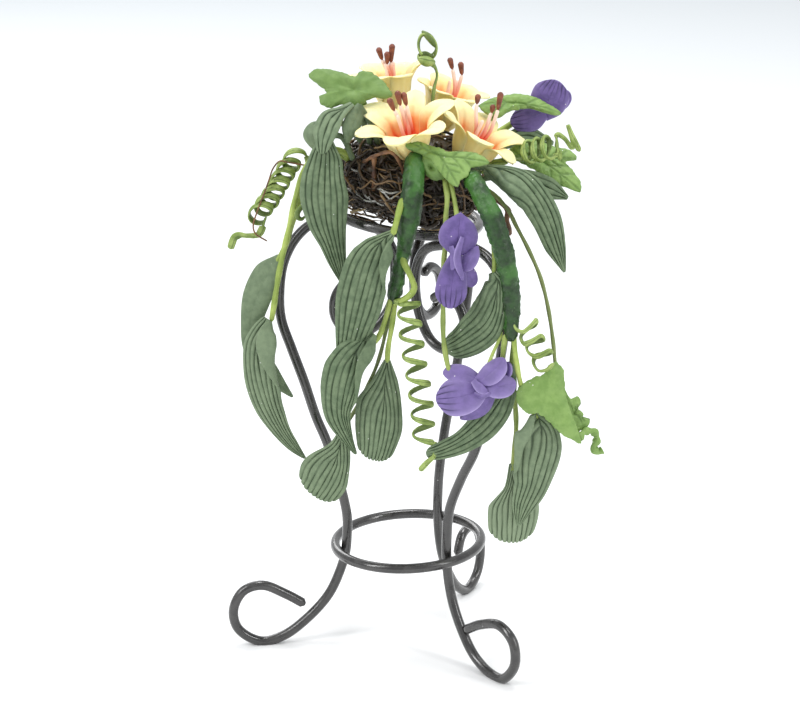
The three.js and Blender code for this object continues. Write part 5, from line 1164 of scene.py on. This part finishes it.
# ---- Lilies -------------------------------------------------------------------------------
# Six thin petals of cream clay overlap round a bell and spread, brushed orange in the throat.
# A petal has its bearing in degrees, and the distance and height of its tip in the flower's own
# millimetres. A stamen runs from its root to the top of its anther.
PETAL_THICKNESS = 0.3
PETAL_ROWS, PETAL_COLUMNS = 44, 26
BELL_RADIUS = 3.15
MOUTH_HEIGHT = 5.5
PETAL_HALF_WIDTH = 2.0
PETAL_SPREAD = math.radians(37)
NECK_RADIUS = 0.75
FILAMENT_RADIUS = 0.26
ANTHER_RADIUS = 0.42
LILIES = {
    "lily_front_left": dict(
        mouth=(0.1, -8.2, 77.3), axis=(-0.195, -0.315, 1), bell=1.0,
        petals=[(16, 7.1, 6.0), (75, 7.0, 6.2), (137, 7.3, 6.1), (197, 7.0, 6.1), (257, 6.9, 6.0),
                (315, 7.1, 6.1)],
        stamens=[
            [(-0.2, -6.8, 75.8), (-1.1, -8.8, 78.6), (-1.3, -9.0, 79.0), (-2.0, -9.6, 80.7)],
            [(0.4, -6.8, 75.6), (-0.4, -8.8, 79.3), (-0.5, -9.0, 79.7), (-0.9, -9.6, 81.7)],
            [(1.0, -6.8, 75.6), (0.4, -8.6, 79.2), (0.3, -8.7, 79.6), (-0.1, -9.2, 81.4)],
        ]),
    "lily_front_right": dict(
        mouth=(10.5, -3.4, 74.9), axis=(0.525, -0.152, 1), bell=1.05,
        petals=[(20, 6.4, 6.1), (84, 5.8, 6.0), (141, 5.9, 6.6), (203, 6.5, 6.1), (264, 4.9, 5.3),
                (322, 6.5, 4.6)],
        stamens=[
            [(9.6, -3.4, 74.8), (9.6, -4.0, 77.6), (9.7, -4.0, 78.7), (9.9, -3.9, 80.0)],
            [(11.4, -3.2, 74.6), (12.3, -4.0, 77.2), (12.5, -4.1, 77.9), (12.9, -4.2, 80.3)],
            [(10.7, -3.4, 74.6), (11.5, -3.6, 77.0), (11.7, -3.6, 77.4), (11.9, -3.6, 78.5)],
        ]),
    "lily_back_left": dict(
        mouth=(-1.6, 3.2, 81.5), axis=(-0.08, 0.05, 1), bell=0.8,
        petals=[(8, 5.4, 6.8), (68, 5.4, 6.2), (132, 5.8, 6.3), (188, 6.4, 5.9), (236, 4.9, 5.2),
                (300, 3.9, 5.5)],
        stamens=[
            [(-2.0, 3.6, 81.1), (-2.6, 3.3, 82.7), (-2.9, 3.2, 83.4), (-3.4, 3.0, 85.1)],
            [(-1.6, 3.4, 81.1), (-1.7, 3.0, 82.6), (-1.7, 2.9, 83.1), (-1.5, 2.8, 85.6)],
            [(-1.8, 3.2, 81.2), (-2.2, 2.8, 82.5), (-2.2, 2.7, 82.9), (-2.2, 2.6, 84.6)],
        ]),
    "lily_back_right": dict(
        mouth=(6.7, 6.4, 78.3), axis=(0.285, -0.037, 1), bell=1.0,
        petals=[(-3, 5.2, 6.0), (57, 5.1, 6.0), (117, 5.1, 6.2), (177, 5.1, 6.0), (237, 4.8, 5.6),
                (297, 4.9, 5.7)],
        stamens=[
            [(7.0, 6.4, 78.2), (6.8, 6.2, 81.0), (6.7, 6.2, 81.4), (6.3, 6.2, 83.0)],
            [(7.3, 6.4, 78.2), (7.9, 6.2, 80.2), (8.0, 6.2, 80.6), (7.8, 6.1, 82.4)],
        ]),
}


def in_flower(places, mouth, axis):
    """Places round a flower's own upright axis, turned and moved to where the flower is."""
    turn = Vector((0, 0, 1)).rotation_difference(Vector(axis).normalized()).to_matrix()
    return (np.asarray(places, float) - (0, 0, MOUTH_HEIGHT)) @ np.array(turn).T + np.array(mouth)


def lily_petal(bearing, distance, height, bell, outer):
    """Front and back of one petal round the flower's own axis, with shares along and across."""
    outline = [(0.5, -0.3), (1.9 * bell, 1.2), (2.75 * bell, 3.0), (BELL_RADIUS * bell, 4.6),
               (0.55 * BELL_RADIUS * bell + 0.45 * distance, 0.5 * height + 2.85), (distance, height)]
    profile = smooth_line([(r, z, 0) for r, z in outline], PETAL_ROWS)
    share = np.linspace(0, 1, PETAL_ROWS)
    radius, upright = profile[:, 0], profile[:, 1] - 0.1 * outer * share ** 3
    limb = np.clip((share - 0.55) / 0.45, 0, 1)
    funnel = radius * math.sin(PETAL_SPREAD)
    rounded = (PETAL_HALF_WIDTH + 0.12 * math.sin(math.pi * bearing)) * np.sqrt(
        np.clip(1 - np.clip((limb - 0.35) / 0.65, 0, 1) ** 2.6, 0, 1))
    half = np.minimum(funnel, rounded)
    slope = unit(np.gradient(np.stack([radius, upright], 1), axis=0))
    across = np.linspace(-1, 1, PETAL_COLUMNS)[None]
    radius, upright, share, limb, half = (
        value[:, None] for value in (radius, upright, share, limb, half))
    angle = bearing + np.arcsin(np.clip(half * across / radius, -1, 1))
    crease = 0.16 * np.exp(-(across / 0.16) ** 2) * np.sin(math.pi * np.clip(share * 1.25 - 0.2, 0, 1))
    wave = 0.10 * limb * np.sin(2.6 * across + 9 * bearing) * across
    ease = PETAL_THICKNESS / 2 * (1 - 0.6 * across ** 6)
    surfaces = []
    for side in (1, -1):
        offset = wave + 0.08 * limb - crease + side * ease
        offset = offset - (0.16 if outer else -0.10) * (1 - 0.5 * limb)
        r = radius - slope[:, 1][:, None] * offset
        z = upright + slope[:, 0][:, None] * offset
        surfaces.append(np.stack([r * np.cos(angle), r * np.sin(angle), z], -1))
    return *surfaces, np.repeat(share, PETAL_COLUMNS, 1), np.repeat(across, PETAL_ROWS, 0)


lily_clay, node, feed, dust = dusted(
    "cream_lily_clay", {"Roughness": 0.5, "Specular IOR Level": 0.35, "Subsurface Weight": 0.35,
                        "Subsurface Radius": (1.0, 0.8, 0.45), "Subsurface Scale": 0.0012},
    300.0, (2600.0, 0.005), (5200.0, 0.25))
brushed = worked(node, "MULTIPLY", dust.outputs["Mottle"], 0.16)
blurred = worked(node, "ADD", mark_on(node, "reach"), brushed)
longer = worked(node, "MULTIPLY", mark_on(node, "streak"), 0.24)
pastel = ramp(node, worked(node, "SUBTRACT", blurred, longer), [
    (0.20, (0.80, 0.09, 0.025)), (0.38, (0.94, 0.27, 0.085)), (0.56, (0.95, 0.50, 0.21)),
    (0.74, (0.95, 0.72, 0.37)), (0.90, (0.93, 0.84, 0.44))])
cream = blended(node, dust.outputs["Mottle"], (0.88, 0.72, 0.30), (0.93, 0.81, 0.39))
feed("Base Color", blended(node, mark_on(node, "inside"), cream, pastel))

filament_clay, node, feed = new_material("filament_clay", {"Roughness": 0.45})
feed("Base Color", ramp(node, share_of(node, mark_on(node, "along"), 0.0015, 0.0055), [
    (0.0, (0.80, 0.09, 0.04)), (0.8, (0.95, 0.74, 0.64))]))
anther_clay, node, feed, dust = dusted("red_brown_anther", {"Roughness": 0.45}, 1500.0,
                                       (1500.0, 0.0), (7000.0, 0.6))
feed("Base Color", tinted(node, dust, (0.13, 0.030, 0.015), (0.27, 0.075, 0.035)))

for name, lily in LILIES.items():
    mouth, axis = lily["mouth"], lily["axis"]
    for k, (bearing, distance, height) in enumerate(lily["petals"]):
        front, back, share, across = lily_petal(math.radians(bearing), distance, height,
                                                lily["bell"], k % 2)
        streaks = np.exp(-(across / 0.22) ** 2) * np.clip(1.8 - 2 * share, 0, 1)
        pastel_side = (np.abs(across) < 0.99).astype(float)
        closed_blade(f"{name}_petal_{k + 1}", in_flower(front, mouth, axis),
                     in_flower(back, mouth, axis), lily_clay,
                     {"reach": (share, share), "inside": (pastel_side, share * 0),
                      "streak": (streaks, streaks)}, "lily", [name] if k == 0 else [])
    foot = in_flower([(0, 0, 0.6), (0, 0, -0.6), (0, 0, -2.2)], mouth, axis)
    fasten(made_solid(rods(f"{name}_neck", [even_line(foot, 0.3)], NECK_RADIUS, lily_clay)), "lily")
    filaments, clubs, club_girths = [], [], []
    heart = in_flower([(0, 0, 1.2)], mouth, axis)[0]
    for root, bend, bottom, top in lily["stamens"]:
        filaments.append(even_line([0.6 * heart + 0.4 * np.array(root), root, bend, bottom], 0.2))
        club = even_line([bottom, top], 0.08)
        swell = 0.62 + 0.5 * np.linspace(0, 1, len(club))
        clubs.append(club)
        club_girths.append(swell * rounded_ends(club, ANTHER_RADIUS, 1.0))
    for k in range(2):
        x, y = 0.9 * math.cos(1.2 + 2.5 * k), 0.9 * math.sin(1.2 + 2.5 * k)
        places = in_flower([(0, 0, 1.2), (0.6 * x, 0.6 * y, 3.2), (x, y, 7.0)], mouth, axis)
        filaments.append(even_line(places, 0.2))
    rod = rods(f"{name}_filaments", filaments, FILAMENT_RADIUS, filament_clay, sides=8)
    fasten(made_solid(rod), "stamen", f"{name}_stamens")
    rod = rods(f"{name}_anthers", clubs, ANTHER_RADIUS, anther_clay, girths=club_girths)
    fasten(made_solid(rod), "stamen")

# ---- Violas -------------------------------------------------------------------------------
# Purple clay blooms of rounded petals round a rubbed, paler keel, with needle grooves pressed in
# the broad ones. Each petal has its spine, half widths, facing, grooves and how pale it is.
AT_VIEWER = (0, -1, 0.3)
VIOLAS = {
    "viola_upper": [
        ([(6.7, -16.6, 61.4), (6.9, -16.8, 64.2), (7.2, -15.9, 67.0)], [0.8, 2.4, 2.6, 2.0, 0.35],
         AT_VIEWER, 0, 0),
        ([(6.7, -16.8, 61.4), (6.0, -17.5, 57.8), (5.7, -17.3, 54.2)], [0.9, 1.6, 2.0, 2.1, 1.3],
         AT_VIEWER, 5, 0),
        ([(7.1, -17.0, 59.6), (8.4, -17.3, 60.9), (9.5, -16.6, 62.6)], [0.6, 1.1, 0.9, 0.3],
         (-0.5, -1, 0.2), 0, 0.3),
        ([(7.0, -16.6, 60.4), (8.3, -16.8, 58.6), (8.8, -16.2, 57.0)], [0.6, 1.1, 0.8],
         (0.5, -1, 0.2), 0, 0.1),
        ([(7.3, -17.3, 64.0), (6.6, -18.2, 61.4), (7.4, -18.0, 58.2)], [0.2, 0.42, 0.45, 0.2],
         (0.7, -1, 0.1), 0, 0.45),
        ([(6.0, -17.4, 62.8), (6.3, -18.0, 61.2), (6.1, -17.8, 59.6)], [0.25, 0.5, 0.2],
         (-0.7, -1, 0.1), 0, 0.4),
    ],
    "viola_lower": [
        ([(10.4, -17.2, 43.2), (7.0, -18.2, 42.4), (3.7, -17.8, 41.9)], [1.0, 2.2, 2.6, 2.4, 1.4],
         (-0.2, -1, 0.3), 5, 0.55),
        ([(9.6, -16.9, 44.2), (7.0, -17.0, 45.2), (4.7, -16.6, 45.2)], [0.6, 1.2, 1.2, 0.7],
         (-0.1, -1, 0.6), 0, 0.6),
        ([(9.2, -17.3, 44.0), (11.4, -17.9, 45.7), (13.0, -17.0, 47.3)], [0.5, 1.4, 1.4, 0.7],
         (-0.5, -1, 0.3), 0, 0.7),
        ([(10.0, -17.4, 43.4), (12.2, -18.0, 43.6), (14.5, -17.1, 43.9)], [0.6, 1.4, 1.5, 0.9],
         (0.3, -1, 0.5), 0, 0.7),
        ([(12.9, -16.4, 44.4), (13.4, -16.6, 45.6), (13.3, -16.3, 46.6)], [0.7, 0.9, 0.5],
         (-0.9, -0.5, 0), 0, 0),
        ([(11.2, -17.1, 42.4), (9.6, -17.6, 40.2), (6.9, -17.3, 39.0)], [0.8, 1.2, 1.0, 0.3],
         (0.2, -1, -0.5), 0, 0.2),
        ([(8.7, -17.9, 44.4), (9.6, -18.5, 43.6), (10.6, -18.2, 42.8)], [0.3, 0.6, 0.2],
         (0.4, -1, 0.6), 0, 0.7),
        ([(9.0, -18.0, 42.8), (10.0, -18.4, 42.6), (11.2, -18.1, 43.0)], [0.2, 0.4, 0.15],
         (0, -1, -0.6), 0, 0.5),
    ],
    "viola_back": [
        ([(18.5, 4.2, 75.2), (19.9, 4.3, 77.6), (21.0, 4.7, 80.1)], [1.3, 2.5, 2.55, 1.5],
         AT_VIEWER, 7, 0),
        ([(19.2, 4.0, 75.8), (16.9, 3.3, 75.0), (14.4, 3.3, 74.6)], [1.0, 1.8, 1.8, 1.0],
         AT_VIEWER, 5, 0),
        ([(19.6, 4.9, 76.2), (21.4, 5.0, 77.2), (22.7, 5.2, 78.4)], [0.8, 1.4, 0.8],
         (0.4, -1, 0.4), 0, 0.1),
    ],
}
VIOLA_THICKNESS = 0.6
VIOLA_ARCH = (14, -46)
VIOLA_GROOVE_DEPTH = 0.16
VIOLA_STEM_RADIUS = 0.45
VIOLA_STEM = [(17.6, 4.4, 76.0), (13.4, 3.8, 73.4), (9.4, 2.6, 71.4), (7.2, 2.0, 70.2)]
viola_clay, node, feed, dust = dusted("purple_viola_clay", {"Roughness": 0.55}, 900.0,
                                      (2600.0, 0.010), (5200.0, 0.35))
# The needle grooves are darkened: painted shade in the hollows.
feed("Base Color", tinted(node, dust, (0.088, 0.058, 0.200), (0.138, 0.090, 0.288),
                          [(mark_on(node, "edge"), (0.42, 0.34, 0.64)),
                           (mark_on(node, "groove_and_shade"), (0.030, 0.018, 0.080))]))
for name, petals in VIOLAS.items():
    for k, (spine, half_widths, facing, grooves, pale) in enumerate(petals):
        points, outward, along, across, ease = blade(
            spine, half_widths, half_widths, [facing], arch=VIOLA_ARCH, blunt=0.3, rows=44, half=28)
        nearest = across * grooves * 0.62
        lines = np.exp(-((nearest - np.round(nearest)) / 0.10) ** 2) * (grooves > 0)
        depth = lines * np.clip((along - 0.50) / 0.30, 0, 1) * np.clip(8 * (1 - np.abs(across)), 0, 1)
        rim = np.maximum(np.abs(across) ** 12, np.clip((along - 0.93) / 0.07, 0, 1) ** 2)
        # Rims and sides are lighter; how pale each petal is, is partly its clay and partly painted light,
        # with the upper bloom kept darker as painted shade and the lower one paler.
        paler = np.clip(0.55 * rim + pale * (0.25 + 0.6 * np.abs(across) ** 3), 0, 1)
        lift = VIOLA_THICKNESS / 2 * ease
        front = points + outward * (lift - VIOLA_GROOVE_DEPTH * depth)[..., None]
        back = points - outward * lift[..., None]
        closed_blade(f"{name}_petal_{k + 1}", front, back, viola_clay,
                     {"groove_and_shade": (depth, depth * 0), "edge": (paler, paler)}, "viola",
                     [name] if k == 0 else [])
stem = rods("viola_back_stem", [even_line(VIOLA_STEM, 0.4)], VIOLA_STEM_RADIUS, stem_green)
fasten(made_solid(stem), "stem")

# ---- Twigs --------------------------------------------------------------------------------
# Brown root ends show in front of the moss: one arches over, one stands under it and one hangs
# at the right. A thin brown thread runs down inside the left coil.
TWIGS = [
    ("twig_arch", 0.26, [(-5.5, -6.2, 71.4), (-5.0, -7.4, 72.0), (-4.1, -8.4, 72.7),
                         (-2.9, -9.4, 73.4), (-1.9, -9.8, 73.6), (-1.0, -9.6, 72.8),
                         (-0.4, -9.0, 71.4), (-0.1, -8.2, 69.8)]),
    ("twig_right", 0.4, [(10.4, -4.6, 67.4), (11.9, -5.6, 66.5), (12.9, -6.4, 65.7),
                         (13.8, -7.0, 64.7), (13.6, -7.2, 63.7), (14.0, -7.2, 61.4)]),
    ("twig_upright", 0.3, [(-4.0, -8.4, 72.7), (-4.1, -8.0, 71.0), (-4.1, -7.8, 69.2),
                           (-4.3, -7.6, 67.8)]),
]
SOLID_TWIGS = ("twig_arch", "twig_right")
TWIG_STEP = 0.2
THREAD_RADIUS = 0.11
twig_bark, node, feed, dust = dusted("twig_bark", {"Roughness": 0.5}, 700.0, (2600.0, 0.005),
                                     (3000.0, 1.0))
feed("Base Color", tinted(node, dust, (0.055, 0.020, 0.009), (0.230, 0.110, 0.045)))
for name, radius, places in TWIGS:
    line = even_line(places, TWIG_STEP)
    girth = rounded_ends(line, radius) * (1 + 0.16 * np.sin(np.arange(len(line)) * 0.55))
    twig = made_solid(rods(f"{name}_root", [line], radius, twig_bark, girths=[girth]))
    fasten(twig, "twig", *([name] if name in SOLID_TWIGS else []))
thread = made_solid(rods("coil_thread", [even_line(COIL_THREAD, TWIG_STEP)], THREAD_RADIUS,
                         twig_bark, sides=8))
fasten(thread, "twig")
